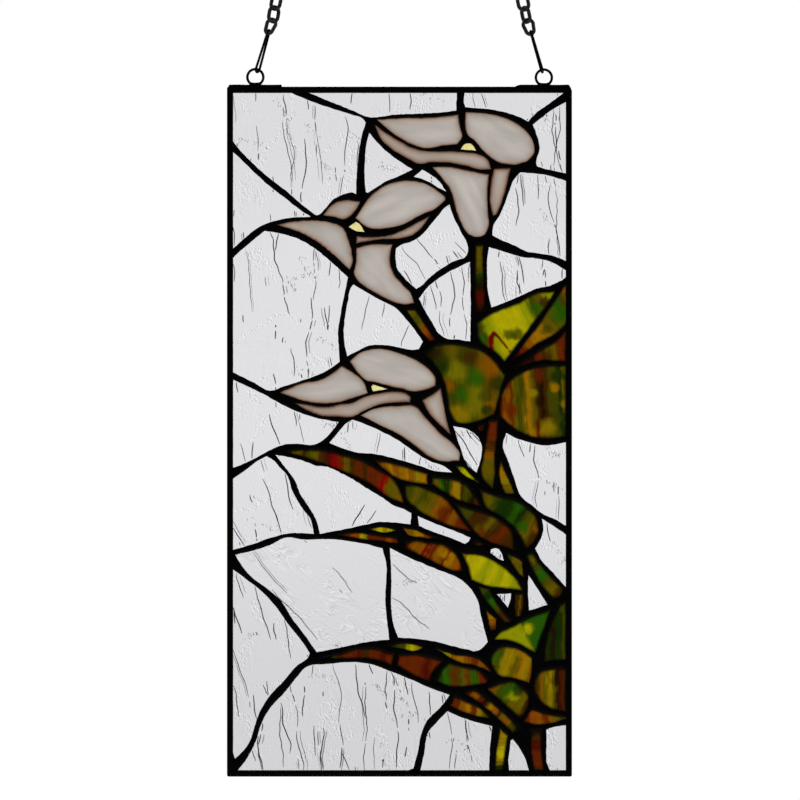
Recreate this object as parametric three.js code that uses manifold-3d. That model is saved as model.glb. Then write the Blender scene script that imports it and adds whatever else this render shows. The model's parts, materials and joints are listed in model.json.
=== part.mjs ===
// Copper-foil stained glass panel with three calla lilies, hung by two chains, in millimetres with +Z up.
// The panel stands in the XZ plane with its front towards -Y, and y = 0 is the middle of the glass.
// Panel points are [x, z] from the frame's lower left corner; the last group moves the origin to the hanging points.

import * as THREE from 'three';
import { mergeGeometries, mergeVertices } from 'three/addons/utils/BufferGeometryUtils.js';
import Module from 'manifold-3d';

const wasm = await Module();
wasm.setup();

// ---- Driving dimensions ----

const panelWidth = 254;
const panelHeight = 508;
const frameDepth = 6.4;
const frameWall = 0.8;
const frameFace = 4.4;
const frameCorner = 2;
const leadDepth = 4.4;
const glassDepth = 3;
const gap = 0.3;
const paneNodes = 48;

const ringRadius = 5.95;
const ringWire = 1.7;
const ringSegments = 16;
const wireSides = 6;

// The strips soldered on the frame's top edge at its corners, as [x, height above the frame].
const plateDepth = 5.2;
const plateRise = 1.6;
const cornerPlates = {
  left: [[0.8, 0], [0.8, 0.9], [1.8, plateRise], [40.5, plateRise], [40.5, 0]],
  right: [[212, 0], [217, plateRise], [251.2, plateRise], [252.8, 0]],
};

const wireLink = { wire: 1.6, length: 32, width: 6.8, steps: 12 };
const chainLink = { wire: 2, length: 13.4, width: 10, steps: 12 };
const chainLinks = 4;
const linkBite = 0.3;
const looseFit = 0.45;

// Each hanger: where its ring stands, how far the wire link and the chain lean, and how their planes are turned.
const hangers = {
  left: { ring: [20.8, 515.2], wireLean: 17, wireTurn: 64, chainLean: 11, turns: [-30, 30] },
  right: { ring: [233.4, 514.9], wireLean: -14.5, wireTurn: 98, chainLean: -14.9, turns: [10, -50] },
};

// Edges of the daylight, just under the lip of the frame.
const left = frameFace - 0.1;
const right = panelWidth - frameFace + 0.1;
const low = frameFace - 0.1;
const top = panelHeight - frameFace + 0.1;

// ---- Glass colours ----

const glassColours = {
  clear: 0xdddde0,
  petal: 0xb9b1aa,
  spadix: 0xe8de82,
  lime: 0xaab20a,
  olive: 0x6e6e00,
  green: 0x3c6400,
  amber: 0xa07800,
  rust: 0x8a4200,
  ruby: 0x780a00,
  umber: 0x4a2a00,
};

// ---- Openings: what shows of each pane between the leads ----

const background = [
  ['clear_top_left', 'clear', [
    [left, top], [47, top], [60, 498.2], [75, 492.8], [92, 487.5], [100, 484.6], [102.2, 482], [99.2, 472],
    [96.9, 459], [95.6, 446], [95, 429], [92.5, 430], [85, 428.5], [78, 424.8], [72, 418], [68.5, 414.3],
    [66, 413.5], [63.5, 414.7], [55, 421.5], [42, 432.5], [30, 441.7], [18, 452.6], [9, 462], [left, 468.2]]],
  ['clear_top_middle', 'clear', [
    [60, top], [169.4, top], [168.8, 490.6], [160, 489.4], [145, 488.4], [125, 487.6], [102.3, 486.2],
    [93, 490.3], [80, 495.5]]],
  ['clear_top_right', 'clear', [
    [175, top], [248, top], [236, 494.7], [228, 489], [224, 485], [221.9, 482.5], [215, 485.8], [206, 489],
    [195, 491.2], [184, 492.3], [175.7, 493], [174.6, 496]]],
  ['clear_right_upper', 'clear', [
    [right, 497], [240, 491.5], [231, 484.7], [225.2, 480.2], [227.5, 474.5], [229.6, 468], [230, 461],
    [228.4, 455.5], [227.8, 451], [228.8, 449], [238, 446.8], [right, 444.2]]],
  ['clear_right_middle', 'clear', [
    [216, 445.1], [226, 444], [236, 442.9], [right, 438.7], [right, 379.7], [240, 383.5], [230, 385.3],
    [222, 386.4], [212, 391], [202, 395.2], [195.4, 398.6], [196, 405], [200.6, 413], [204.6, 422],
    [208, 431.5], [211.6, 440]]],
  ['clear_lily_gap', 'clear', [
    [137.8, 441.8], [143.8, 447], [149, 444], [154, 440.5], [158, 436], [161.3, 431], [156, 433.5],
    [150, 437.3], [144, 440]]],
  ['clear_centre_upper', 'clear', [
    [104.7, 474.3], [102.8, 466], [101.6, 454], [101.3, 443], [102.3, 430.3], [104, 430], [110, 434],
    [118, 438.8], [126, 442], [136.6, 447.2], [130, 451.3], [122, 456.8], [115, 462.7], [109, 469]]],
  ['clear_centre_slope', 'clear', [
    [164, 421.3], [166, 414.3], [169.6, 406.5], [174, 398], [177.2, 391.5], [176.8, 385], [174.8, 382.2],
    [169, 380.5], [160, 375.6], [150, 368.3], [143, 361.5], [139.5, 359.1], [136, 362], [130, 368],
    [126, 373], [124.1, 381], [124.6, 389], [128, 391.6], [135, 393.6], [143, 398.5], [150, 406.5],
    [157, 415], [161.5, 420]]],
  ['clear_left_upper', 'clear', [
    [left, 460], [10, 454.8], [20, 445], [30, 436], [42, 426.6], [54, 417.3], [61.5, 412.3], [50, 411.8],
    [40, 410.5], [32, 408.3], [24, 404.9], [13, 396.5], [left, 388.8]]],
  ['clear_left_middle', 'clear', [
    [left, 382], [9, 386.5], [18, 394], [27.5, 402], [40, 399.8], [52, 396.2], [63, 390], [76, 379.6],
    [89, 367.7], [86.3, 354], [83.6, 341], [81.8, 328], [82.2, 317], [83, 305.4], [76, 300.4], [68, 296.2],
    [55, 291.6], [42, 287.4], [31.8, 284.2], [20, 290], [left, 297.8]]],
  ['clear_centre_left', 'clear', [
    [93, 362.3], [103, 356.5], [113, 350.8], [124, 345.2], [131, 338], [137, 330.5], [144.3, 320.3],
    [141, 314.8], [137.5, 314.2], [128, 315.8], [120, 317.3], [112, 318], [104, 317.2], [97, 314],
    [88.5, 309.6], [86.6, 319], [86, 328], [87, 339], [89, 350], [91, 359.5]]],
  ['clear_centre_right', 'clear', [
    [141.5, 352], [147, 359.5], [155, 366.3], [166, 373], [179, 379.2], [179.4, 350], [179.2, 320.5],
    [170, 321.8], [162, 322.6], [157, 325.4], [151, 334.5], [145, 344.8]]],
  ['clear_right_stem', 'clear', [
    [193, 390], [206, 386], [216, 382.9], [230, 381.3], [238, 379.3], [right, 372.7], [249.4, 368],
    [247, 365.8], [238, 361.7], [227, 359], [215, 353.6], [205, 349.3], [194.8, 345.5], [192.4, 356],
    [191.6, 370], [191.9, 383]]],
  ['clear_left_lower', 'clear', [
    [left, 292.3], [14, 287.8], [28, 281], [40, 274.2], [52, 268.6], [66, 264], [82, 261], [76, 253],
    [71, 248], [66, 245], [62, 244.2], [50, 245.2], [41, 244.2], [30, 239.6], [18, 233], [left, 227.2]]],
  ['clear_under_lily', 'clear', [
    [92.5, 262.7], [104, 258.6], [115, 253.5], [126, 247.6], [138, 239.2], [148, 232.8], [160, 228.4],
    [166, 224], [153, 225.1], [142, 228.8], [128, 233], [110, 237.4], [93, 239.2], [84, 242.2],
    [75.5, 245.8], [82, 253.5], [89, 261]]],
  ['clear_left_leaf', 'clear', [
    [left, 219.2], [14, 226], [22, 232], [29, 235.8], [33, 233.8], [39, 227.4], [45, 220.5], [47.6, 211.5],
    [51.5, 203.8], [57, 195.2], [61.2, 190.3], [62.8, 185], [64, 178.7], [46, 179.1], [34, 176.4],
    [18, 170.9], [left, 166.8]]],
  ['clear_under_leaf', 'clear', [
    [35.5, 237], [48, 234.6], [58, 231.8], [66, 228.8], [73, 228.2], [84, 223.4], [92, 219.2], [103, 212.2],
    [114, 205.6], [124, 199], [129, 197.4], [135.8, 193.8], [135, 185.7], [120, 187.3], [112, 187.4],
    [101, 185.2], [86, 182], [68.3, 178.8], [65.8, 188.6], [60, 198.8], [54.3, 207.4], [49.6, 218.6],
    [43, 227.4]]],
  ['clear_leaf_strip', 'clear', [
    [140.5, 191.8], [155, 185.5], [168, 180.6], [179.3, 175.8], [178, 173.2], [175.3, 171.2], [164, 176],
    [152, 180.2], [141.5, 184.5]]],
  ['clear_slope_left', 'clear', [
    [6, 163.3], [20, 166.6], [32, 170.6], [43, 175.8], [58, 174.4], [72, 174.9], [90, 173.3], [104, 170.8],
    [114.3, 168], [117.2, 157], [117.2, 144], [116.5, 131], [117.6, 117], [119.5, 100.8], [104, 99.2],
    [88, 95.8], [66, 91.5], [59, 101.6], [48, 116], [39.5, 129.5], [30, 138], [19, 146], [11, 155]]],
  ['clear_low_left', 'clear', [
    [left, 152.8], [12, 146.8], [27, 135], [36, 125], [45, 112.2], [55, 99.8], [61, 91], [59.6, 87.6],
    [51.5, 81.6], [42, 70.6], [31, 58.8], [25, 49.6], [20.6, 38], [17.6, 28], [12, 19], [5.7, 12.8],
    [left, 18]]],
  ['clear_bottom_middle', 'clear', [
    [59, 80.9], [72, 82.7], [105, 82.9], [120, 77.6], [136, 71.2], [150, 65], [164, 60], [158, 51.8],
    [147, 40.5], [143, 31], [140.5, 18], [137.3, 6], [133, low], [8, low], [15, 13.8], [21, 25.4],
    [26, 40.6], [33, 52], [42, 61.4], [50, 71.4]]],
  ['clear_low_centre', 'clear', [
    [120, 168.3], [134, 161.2], [152, 153.6], [175, 142.8], [183.5, 132], [187.5, 116], [192, 99],
    [185.5, 93], [181.8, 92.2], [167, 95.8], [152, 99.6], [138, 101.5], [126, 102.2], [122.3, 113],
    [121, 126], [121.1, 145], [120.6, 158]]],
  ['clear_bottom_right', 'clear', [
    [162.2, 48], [176, 42.3], [195.3, 37], [193.3, 16], [193, low], [142.3, low], [145, 15.6],
    [148.6, 33], [155, 40.4]]],
  ['clear_stem_foot', 'clear', [
    [209, 26.4], [210.5, 27.3], [214.6, 22], [219, 14.4], [222.4, low], [207.8, low], [207.4, 12]]],
  ['clear_right_foot', 'clear', [
    [235.3, 34.5], [240, 36.2], [right, 37.8], [right, low], [238, low], [235.3, 11]]],
  ['clear_bit_upper', 'clear', [
    [194.3, 167.3], [197.5, 168], [200.5, 167.3], [202.6, 163.4], [203.8, 158.8], [199, 161], [194.2, 165]]],
  ['clear_bit_middle', 'clear', [[198.8, 134.2], [209.2, 134.9], [208.6, 129], [206.7, 124.5], [203, 129.4]]],
  ['clear_bit_right', 'clear', [
    [222, 148.2], [228, 139.4], [236, 126.5], [229, 124.2], [222.5, 122.2], [221.7, 134]]],
  ['clear_right_leaf', 'clear', [
    [205.7, 253], [212, 249.6], [222, 246.2], [233, 243.8], [right, 246], [right, 184.7], [242, 189.2],
    [233, 193.2], [225, 199.4], [217.3, 205.5], [211.4, 220], [207, 232.8], [203.2, 244]]],
  ['clear_right_lower', 'clear', [
    [232, 189.8], [242, 183.4], [right, 178], [right, 139.5], [240, 150.2], [231, 160.2], [227, 168],
    [231, 175], [233, 182]]],
  ['clear_lily_side', 'clear', [
    [166.7, 258], [176, 256], [182, 252.8], [187.3, 245], [186.4, 232], [183.8, 223.8], [177.5, 229],
    [172, 242]]],
];

const lilies = [
  ['lily1_left_petal', 'petal', [
    [110.5, 483.8], [130, 484.9], [150, 485.4], [170.5, 487.5], [171.5, 479], [173.2, 471.5], [169.6, 465.7],
    [158, 464.6], [147, 462.7], [138, 464.8], [128, 469.8], [118, 477]]],
  ['lily1_rim', 'petal', [
    [109, 479.8], [118, 473.6], [128, 467.6], [138, 462.6], [147, 460.7], [165, 460.5], [176, 459.8],
    [185, 458.4], [192.4, 453.6], [194.6, 447.2], [187, 447], [176, 449.7], [163, 452.1], [151, 452.5],
    [141, 451.3], [132, 455.8], [121, 462.4], [113.4, 469.6]]],
  ['lily1_right_petal', 'petal', [
    [175.6, 489.3], [190, 488.5], [202, 486], [213, 481.3], [221, 474.8], [225.6, 467.4], [226.2, 460],
    [222.6, 454.4], [215.5, 451.2], [200, 452.5], [187.5, 462.3], [182.5, 468.4], [177.4, 472.5],
    [175.4, 482]]],
  ['lily1_throat', 'petal', [
    [151.5, 448.7], [164, 449], [176, 446.7], [193, 443.3], [191.7, 430], [192, 417], [192.4, 404.5],
    [189, 398.8], [183.5, 397.4], [178.4, 399.2], [172.6, 407.4], [168.4, 418.4], [164.8, 431.4],
    [159, 440]]],
  ['lily1_turned_edge', 'petal', [
    [196.5, 447.5], [209, 448.2], [206, 435.6], [202.6, 423.6], [198.4, 414], [196, 413], [194, 421],
    [193.8, 431]]],
  ['lily1_spadix', 'spadix', [
    [172.3, 462], [174.3, 465.2], [176.4, 466.3], [179.3, 466.2], [181.7, 464], [183.5, 461]]],
  ['lily2_back_petal', 'petal', [
    [70.8, 413.4], [75, 418.8], [80, 422.8], [87, 424.4], [98, 423.4], [94, 416.2], [90, 412.2], [86.4, 410.5],
    [79, 412.2]]],
  ['lily2_big_petal', 'petal', [
    [94.6, 411.3], [99, 418], [104, 425.8], [112, 432.8], [121, 437.3], [131, 438.9], [142, 437.8],
    [152, 433.4], [160.6, 427.2], [160.8, 424.6], [153, 418], [143, 413.8], [131, 407.2], [118, 404],
    [104, 404.2]]],
  ['lily2_left_petal', 'petal', [
    [36.5, 406.4], [50, 408.9], [66, 409.4], [77, 407.8], [85, 404.4], [89, 396.4], [91.8, 386],
    [92.2, 378], [90.2, 373.3], [78, 384.8], [66, 394], [54, 400.7]]],
  ['lily2_rim', 'petal', [
    [95.5, 397.8], [108, 397.3], [121, 399], [132, 403.6], [141, 408.4], [149, 412.5], [143.4, 404.4],
    [137, 399], [129, 396.6], [112, 395.6], [95.3, 392.7]]],
  ['lily2_throat', 'petal', [
    [95.3, 389.3], [105, 391.8], [121.6, 391.8], [120, 381], [122.2, 371.8], [128, 363.8], [135, 356.2],
    [138, 348.6], [130, 347.7], [120, 350.6], [108, 356.8], [98, 363.6], [93.8, 369.5], [95, 379]]],
  ['lily2_spadix', 'spadix', [[94.9, 408.5], [98.4, 406], [101.3, 401.1], [95, 401.8], [89.5, 404.7]]],
  ['lily3_top_petal', 'petal', [
    [90.4, 305.8], [98, 312], [106, 314.5], [116, 314.6], [127, 311.6], [138, 307.2], [148, 300.8],
    [153.6, 293.4], [153.8, 287.7], [146, 284.8], [139, 283.5], [128, 285.7], [118, 287.9], [109, 290.6],
    [104, 291.2], [97, 296.8]]],
  ['lily3_left_petal', 'petal', [
    [39, 282.8], [48, 287], [56, 289.9], [68, 291.8], [77, 296.6], [84.4, 302.4], [92, 298], [100.4, 290.8],
    [103.7, 282.4], [93, 278.9], [82, 275.6], [70, 274.8], [58, 276.3], [48, 279.3]]],
  ['lily3_rim', 'petal', [
    [50, 274.9], [60, 273.7], [69, 272.2], [76, 272.4], [84, 274.2], [92, 275.1], [101, 279.4], [112, 282.2],
    [124, 283.4], [132, 282], [135.4, 279.4], [134.9, 275.7], [121, 275.3], [110, 273.3], [101, 269.4],
    [93, 265.2], [80, 265.1], [69, 265.8], [60, 269.2]]],
  ['lily3_throat', 'petal', [
    [98.6, 266], [106, 269.8], [115, 272.1], [126, 272.8], [138.6, 272.7], [147, 263.6], [157, 253],
    [168, 243.2], [171.6, 237.6], [170.8, 232.5], [156, 232.6], [149, 235.6], [138, 243.8], [126, 252.2],
    [112, 259.2]]],
  ['lily3_side_petal', 'petal', [
    [143.7, 277], [150, 280.6], [157.4, 286], [159, 277], [161.6, 263], [164.8, 251.6], [156, 259.8],
    [148, 268.8]]],
  ['lily3_spadix', 'spadix', [[106, 287], [107.4, 288.5], [112, 287.4], [118.2, 285.3], [107.6, 283.8]]],
];

const leaves = [
  ['leaf1_tail', 'olive', [
    [44.3, 238.9], [56, 240.4], [70, 239.8], [84, 236.8], [98, 233], [112, 225.2], [121.6, 219.4],
    [125.4, 214.6], [130.2, 201.4], [120, 205], [106, 214.9], [92, 222.1], [76, 228.4], [60, 234]]],
  ['leaf1_amber_tip', 'amber', [
    [108.4, 232.6], [122, 230.4], [136, 226.4], [147.4, 222.8], [147.8, 215], [135, 216.9], [124, 220.4],
    [117, 225.4]]],
  ['leaf1_low_middle', 'olive', [
    [131, 213.6], [136, 214.3], [150, 210.2], [162, 203.2], [169, 194.6], [179.6, 180.4], [166, 183.8],
    [153, 189.4], [139, 197.6], [132.6, 204]]],
  ['leaf1_upper_middle', 'green', [
    [151, 220], [163, 219.2], [176, 214.8], [183, 206.6], [187.2, 198.7], [174, 202.2], [162, 208.2],
    [150.6, 215.4]]],
  ['leaf1_brown_heart', 'umber', [
    [168.4, 200.2], [180, 196.6], [192, 192.8], [203, 187.4], [209.6, 180.6], [211.4, 166.4], [200, 170.4],
    [187, 176], [177, 187]]],
  ['leaf1_green_tip', 'green', [
    [186.5, 210.5], [197, 206.8], [213, 203.2], [223, 196.2], [229.2, 187.6], [229.6, 181], [226, 173],
    [220.6, 168], [216.6, 176], [210.6, 184.4], [201, 191.6], [191.5, 197.6]]],
  ['leaf2_lower_tail', 'rust', [
    [81, 178], [96, 179.3], [110, 177.4], [124.8, 175.2], [126.4, 171.4], [112, 173.2], [98, 175]]],
  ['leaf2_lime_tip', 'lime', [[104, 182], [113, 183.4], [118.6, 183], [124.2, 181.2], [117, 179.7]]],
  ['leaf2_upper_middle', 'amber', [
    [129.5, 183.3], [140, 181], [150, 176.8], [158, 174.3], [143, 176], [132.5, 178.8]]],
  ['leaf2_heart', 'rust', [
    [131.3, 168], [132.2, 171.8], [139, 173.7], [147, 172], [158, 170.7], [166, 166.2], [171, 159.2],
    [173.6, 151.2], [168, 151.4], [155, 156.6], [143, 162.6]]],
  ['leaf2_dark_chip', 'umber', [[180.4, 171.8], [184, 172.6], [188.6, 170.8], [184, 169.8]]],
  ['leaf2_lime_end', 'lime', [
    [173.3, 164.2], [188, 162.5], [198, 158], [208, 150.4], [214.6, 143.2], [217.4, 137], [203, 138.8],
    [192, 140.2], [180, 144.8], [177, 155.6]]],
  ['leaf3_red_tail', 'ruby', [
    [70.5, 87], [84, 90.2], [96, 93.8], [108, 93.8], [122.8, 89.6], [121.4, 82], [106, 86.5], [88, 86.6]]],
  ['leaf3_lime_chip', 'lime', [
    [118.5, 95.8], [130, 98], [137, 97.3], [144.6, 95], [138, 92.3], [130, 93.8]]],
  ['leaf3_rust_middle', 'rust', [
    [125.4, 81.8], [126.4, 89], [138, 89.7], [148, 87.8], [158.6, 84.8], [151.6, 77.2], [148.6, 70.2],
    [136, 75.2]]],
  ['leaf3_amber_strip', 'amber', [
    [154.4, 93.8], [168, 89.6], [184, 86.8], [190, 82.6], [194.4, 76.9], [184, 81.2], [170, 84.6]]],
  ['leaf3_green_middle', 'green', [
    [163.4, 83.2], [174, 80.4], [186, 77.2], [192, 70.6], [190.6, 68.4], [178, 66.6], [166, 66.2], [154, 70],
    [158, 77.6]]],
  ['leaf3_yellow_heart', 'lime', [
    [194.4, 85.6], [197.4, 92], [202.6, 95.3], [211, 94.8], [219, 91.6], [224.6, 87], [224.4, 76],
    [222.5, 68.8], [211, 72.4], [200.6, 74.4], [196.2, 80]]],
  ['leaf3_lime_top', 'lime', [
    [197.2, 101], [200, 105], [210, 110], [222, 116.2], [238, 122.4], [234.6, 112], [230.4, 100],
    [227, 91], [217, 96.6], [207.6, 100.1]]],
  ['leaf3_green_side', 'green', [
    [242, 120], [245, 125.6], [right, 128.4], [right, 86], [240, 85.2], [232.6, 83.6], [234, 97]]],
  ['leaf3_right_olive', 'amber', [
    [226.4, 70], [231, 76.8], [238, 78.6], [right, 78.8], [right, 48], [241, 49.2], [232, 54.6],
    [226.6, 63]]],
  ['leaf3_green_heart', 'olive', [
    [192.2, 64.2], [201, 68.2], [210, 69.6], [217, 65.4], [222, 58.8], [220.8, 49.6], [216.4, 42.6],
    [207, 50.8]]],
  ['leaf3_stem_band', 'rust', [
    [175.4, 61], [181.4, 63.1], [188, 59.6], [200, 49.8], [210, 40.6], [216, 34], [211, 31.6], [201, 41.4],
    [189, 51.8]]],
  ['leaf3_low_amber', 'amber', [
    [164.6, 52], [167.4, 58.6], [176, 55.2], [187, 49.4], [194, 42.8], [183, 44.6], [172, 48.2]]],
  ['leaf3_low_rust', 'rust', [
    [218.8, 40], [222, 46.2], [224.8, 49.2], [234, 46], [right, 43.6], [right, 42.2], [238, 38.8],
    [227, 38.2]]],
  ['leaf4_lime_top', 'lime', [
    [184, 333.6], [192, 339.5], [204, 344.8], [216, 349.4], [225, 355], [241.4, 357.1], [236, 347.8],
    [226, 334.5], [215, 319.8], [204.4, 305.6], [197, 313.2], [187, 319.8]]],
  ['leaf4_green_side', 'green', [
    [right, 363], [right, 333.5], [241, 325.4], [229, 319], [218, 311.3], [210.5, 307.4], [218, 317.8],
    [228, 330.8], [237, 344]]],
  ['leaf4_ruby', 'ruby', [
    [right, 328.4], [right, 305.8], [230, 305.8], [221, 303.6], [213, 300.8], [221, 306.8], [230, 313.8],
    [241, 319.6]]],
  ['leaf4_olive_heart', 'olive', [
    [145.8, 310.6], [152, 316], [162, 318.2], [176, 316.9], [188, 313.2], [197.4, 305.4], [204.8, 295.4],
    [201.6, 284.6], [198.4, 272.4], [196.4, 266.6], [186, 262.4], [176, 259.8], [168.6, 261.4],
    [164.6, 267.6], [162.2, 280], [159.4, 292.4], [153, 303.4]]],
  ['leaf4_amber_side', 'amber', [
    [203, 283], [208, 291], [217, 297.2], [229, 301.4], [right, 302.4], [right, 250.4], [238, 248.9],
    [225, 250], [213, 255.4], [200.8, 265.6]]],
  ['stem_middle', 'amber', [
    [193, 261.6], [199.8, 262], [198.8, 248], [197.2, 234], [197.6, 226], [195.8, 211.8], [187.6, 221.6],
    [189, 236], [191.2, 252]]],
  ['stem_middle_chip', 'ruby', [[184.5, 256.6], [188.8, 259.4], [189.4, 255.4], [187, 254.2]]],
  ['stem_middle_sliver', 'amber', [
    [201.8, 231.6], [206.2, 221.8], [211.8, 208.2], [204.8, 208.4], [201.4, 217.6], [200.4, 225.6]]],
  ['lily3_stem', 'lime', [[168.6, 228.5], [173.2, 228], [179.4, 222], [185.6, 216.2], [175, 221.6]]],
  ['lily1_stem', 'olive', [
    [183.2, 391], [188.7, 391], [188.6, 378], [190, 358], [189.8, 345], [187.4, 341.4], [184, 341.4],
    [182.8, 352], [182.8, 372]]],
  ['lily2_stem', 'rust', [
    [132.4, 343.4], [138.6, 343.6], [145.4, 333.6], [153.4, 321.8], [149.4, 320.4], [141.4, 330]]],
  ['leaf2_end_chip', 'olive', [
    [205.7, 163.8], [211, 162], [217.4, 158.2], [218.4, 146.8], [215, 149]]],
  ['stem_right', 'green', [
    [220.8, 162.5], [224.8, 164.2], [231.4, 155.4], [239, 146.4], [247.6, 137.6], [246, 133.6],
    [240.4, 130.8], [232, 140.4], [225.4, 152]]],
  ['stem_short', 'umber', [
    [212.4, 134], [218.4, 134], [218, 124], [216.4, 117.8], [212.6, 117.8], [211.8, 125]]],
  ['stem_long', 'green', [
    [185.4, 139.6], [193.5, 137.6], [198.6, 127.6], [205, 119], [209.2, 114], [204.8, 113.2],
    [197.4, 121.6], [189.6, 131.4]]],
  ['stem_left_chip', 'rust', [
    [190.8, 122.6], [194.6, 118.8], [198.2, 115.8], [198.2, 108], [194.4, 107.2], [192.6, 114]]],
  ['stem_foot_left', 'amber', [
    [201.2, 35], [206.8, 30], [205, 18], [203.4, low], [197.2, low], [198.4, 18]]],
  ['stem_foot_right', 'ruby', [
    [224, 34], [231.6, 34.2], [231.9, 18], [233.4, low], [226.4, low], [224, 17]]],
];

const openings = [...background, ...lilies, ...leaves];

// ---- Shapes ----

const vectors = (points) => points.map(([x, z]) => new THREE.Vector2(x, z));

const area = (points) => Math.abs(THREE.ShapeUtils.area(vectors(points)));

// The outline with every edge moved inwards by the same distance.
function inset(points, distance) {
  const outline = vectors(points);
  const turn = Math.sign(THREE.ShapeUtils.area(outline));
  const normal = (from, to) => {
    const along = to.clone().sub(from).normalize();
    return new THREE.Vector2(-along.y, along.x).multiplyScalar(turn);
  };
  return outline.map((point, i) => {
    const before = outline[(i + outline.length - 1) % outline.length];
    const after = outline[(i + 1) % outline.length];
    const first = normal(before, point);
    const second = normal(point, after);
    const reach = distance / (1 + first.dot(second));
    return point.clone().addScaledVector(first.add(second), reach);
  });
}

// A flat plate in the XZ plane, centred on y.
function plate(outline, depth, y = 0, holes = []) {
  const shape = new THREE.Shape(outline);
  shape.holes = holes.map((hole) => new THREE.Path(hole));
  const geometry = new THREE.ExtrudeGeometry(shape, { depth, bevelEnabled: false });
  return geometry.rotateX(Math.PI / 2).translate(0, y + depth / 2, 0);
}

function rectangle(x0, z0, x1, z1) {
  return vectors([[x0, z0], [x1, z0], [x1, z1], [x0, z1]]);
}

function roundedRectangle(x0, z0, x1, z1, radius) {
  const shape = new THREE.Shape();
  shape.absarc(x1 - radius, z1 - radius, radius, 0, Math.PI / 2);
  shape.absarc(x0 + radius, z1 - radius, radius, Math.PI / 2, Math.PI);
  shape.absarc(x0 + radius, z0 + radius, radius, Math.PI, 1.5 * Math.PI);
  shape.absarc(x1 - radius, z0 + radius, radius, 1.5 * Math.PI, 2 * Math.PI);
  return shape.getPoints(3);
}

// ---- Joining and cutting ----

function solid(geometry) {
  const bare = geometry.clone();
  bare.deleteAttribute('normal');
  bare.deleteAttribute('uv');
  const welded = mergeVertices(bare, 1e-4);
  return new wasm.Manifold(new wasm.Mesh({
    numProp: 3,
    vertProperties: new Float32Array(welded.attributes.position.array),
    triVerts: new Uint32Array(welded.index.array),
  }));
}

function geometryOf(body) {
  const mesh = body.getMesh();
  const geometry = new THREE.BufferGeometry();
  geometry.setAttribute('position', new THREE.BufferAttribute(mesh.vertProperties, 3));
  geometry.setIndex(new THREE.BufferAttribute(mesh.triVerts, 1));
  return geometry;
}

function joined(geometries) {
  return geometryOf(geometries.map(solid).reduce((whole, next) => whole.add(next)));
}

// ---- Frame, leading and glass ----

function frameGeometry() {
  const outer = roundedRectangle(0, 0, panelWidth, panelHeight, frameCorner);
  const daylight = rectangle(frameFace, frameFace, panelWidth - frameFace, panelHeight - frameFace);
  const bed = rectangle(frameWall, frameWall, panelWidth - frameWall, panelHeight - frameWall);
  const lip = (frameDepth - frameWall) / 2;
  return joined([
    plate(outer, frameWall, -lip, [daylight]),
    plate(outer, frameDepth - 2 * frameWall, 0, [bed]),
    plate(outer, frameWall, lip, [daylight]),
  ]);
}

function leadingGeometry() {
  const edge = frameWall + gap;
  const outline = rectangle(edge, edge, panelWidth - edge, panelHeight - edge);
  const sheet = solid(plate(outline, leadDepth));
  const cutters = openings.map(([, , points]) => solid(plate(vectors(points), 2 * leadDepth)));
  return geometryOf(cutters.reduce((lead, cutter) => lead.subtract(cutter), sheet));
}

function paneGeometry(points) {
  return plate(inset(points, gap), glassDepth);
}

// ---- Rings, links and chains ----

const radians = (degrees) => THREE.MathUtils.degToRad(degrees);

// A ring that hangs in the XZ plane until it is turned about Z.
function ringGeometry(wire) {
  const ring = new THREE.TorusGeometry(ringRadius, wire / 2, wireSides, ringSegments);
  return ring.rotateX(Math.PI / 2);
}

// An oval link about the origin, its long axis along Z and its plane the XZ plane: a ring of flat sides whose
// upper and lower halves are drawn apart.
function linkGeometry({ wire, length, width, steps }) {
  const bend = (width - wire) / 2;
  const straight = (length - width) / 2;
  const link = new THREE.TorusGeometry(bend / Math.cos(Math.PI / steps), wire / 2, wireSides, steps);
  link.rotateZ(Math.PI / steps).rotateX(Math.PI / 2);
  const points = link.attributes.position;
  for (let i = 0; i < points.count; i += 1) {
    points.setZ(i, points.getZ(i) + Math.sign(points.getZ(i)) * straight);
  }
  return link;
}

function leanDirection(lean) {
  return new THREE.Vector3(Math.sin(radians(lean)), 0, Math.cos(radians(lean)));
}

// Puts a piece that stands upright at the origin at its centre, leaning in the XZ plane and turned on its own axis.
function hang(geometry, centre, lean, turn) {
  return geometry.rotateZ(radians(turn)).rotateY(radians(lean)).translate(centre.x, centre.y, centre.z);
}

function chainGeometry(start, { chainLean, turns }) {
  const up = leanDirection(chainLean);
  const half = (chainLink.length - chainLink.wire) / 2;
  const pitch = 2 * half - chainLink.wire + linkBite;
  const links = [];
  for (let i = 0; i < chainLinks; i += 1) {
    const centre = start.clone().addScaledVector(up, half + i * pitch);
    links.push(hang(linkGeometry(chainLink), centre, chainLean, turns[i % 2]));
  }
  const end = start.clone().addScaledVector(up, 2 * half + (chainLinks - 1) * pitch);
  return { geometry: joined(links), end };
}

function cornerPlateGeometry(outline) {
  return plate(vectors(outline), plateDepth).translate(0, 0, panelHeight);
}

function place(geometry, x, z) {
  return geometry.translate(x, 0, z);
}

// ---- Materials ----

const metal = (colour) => new THREE.MeshStandardMaterial({ color: colour, roughness: 0.45, metalness: 0.8 });
const patina = metal(0x0c0c0d);
const chainBlack = metal(0x2b292b);

function glass(kind) {
  const seeThrough = kind === 'clear';
  return new THREE.MeshStandardMaterial({
    color: glassColours[kind],
    roughness: 0.12,
    metalness: 0,
    transparent: seeThrough,
    opacity: seeThrough ? 0.4 : 1,
  });
}

// ---- The scene ----

const panel = new THREE.Group();

function addPiece(name, geometry, material) {
  const mesh = new THREE.Mesh(geometry, material);
  mesh.name = name;
  panel.add(mesh);
}

addPiece('frame', frameGeometry(), patina);
addPiece('leading', leadingGeometry(), patina);

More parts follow.
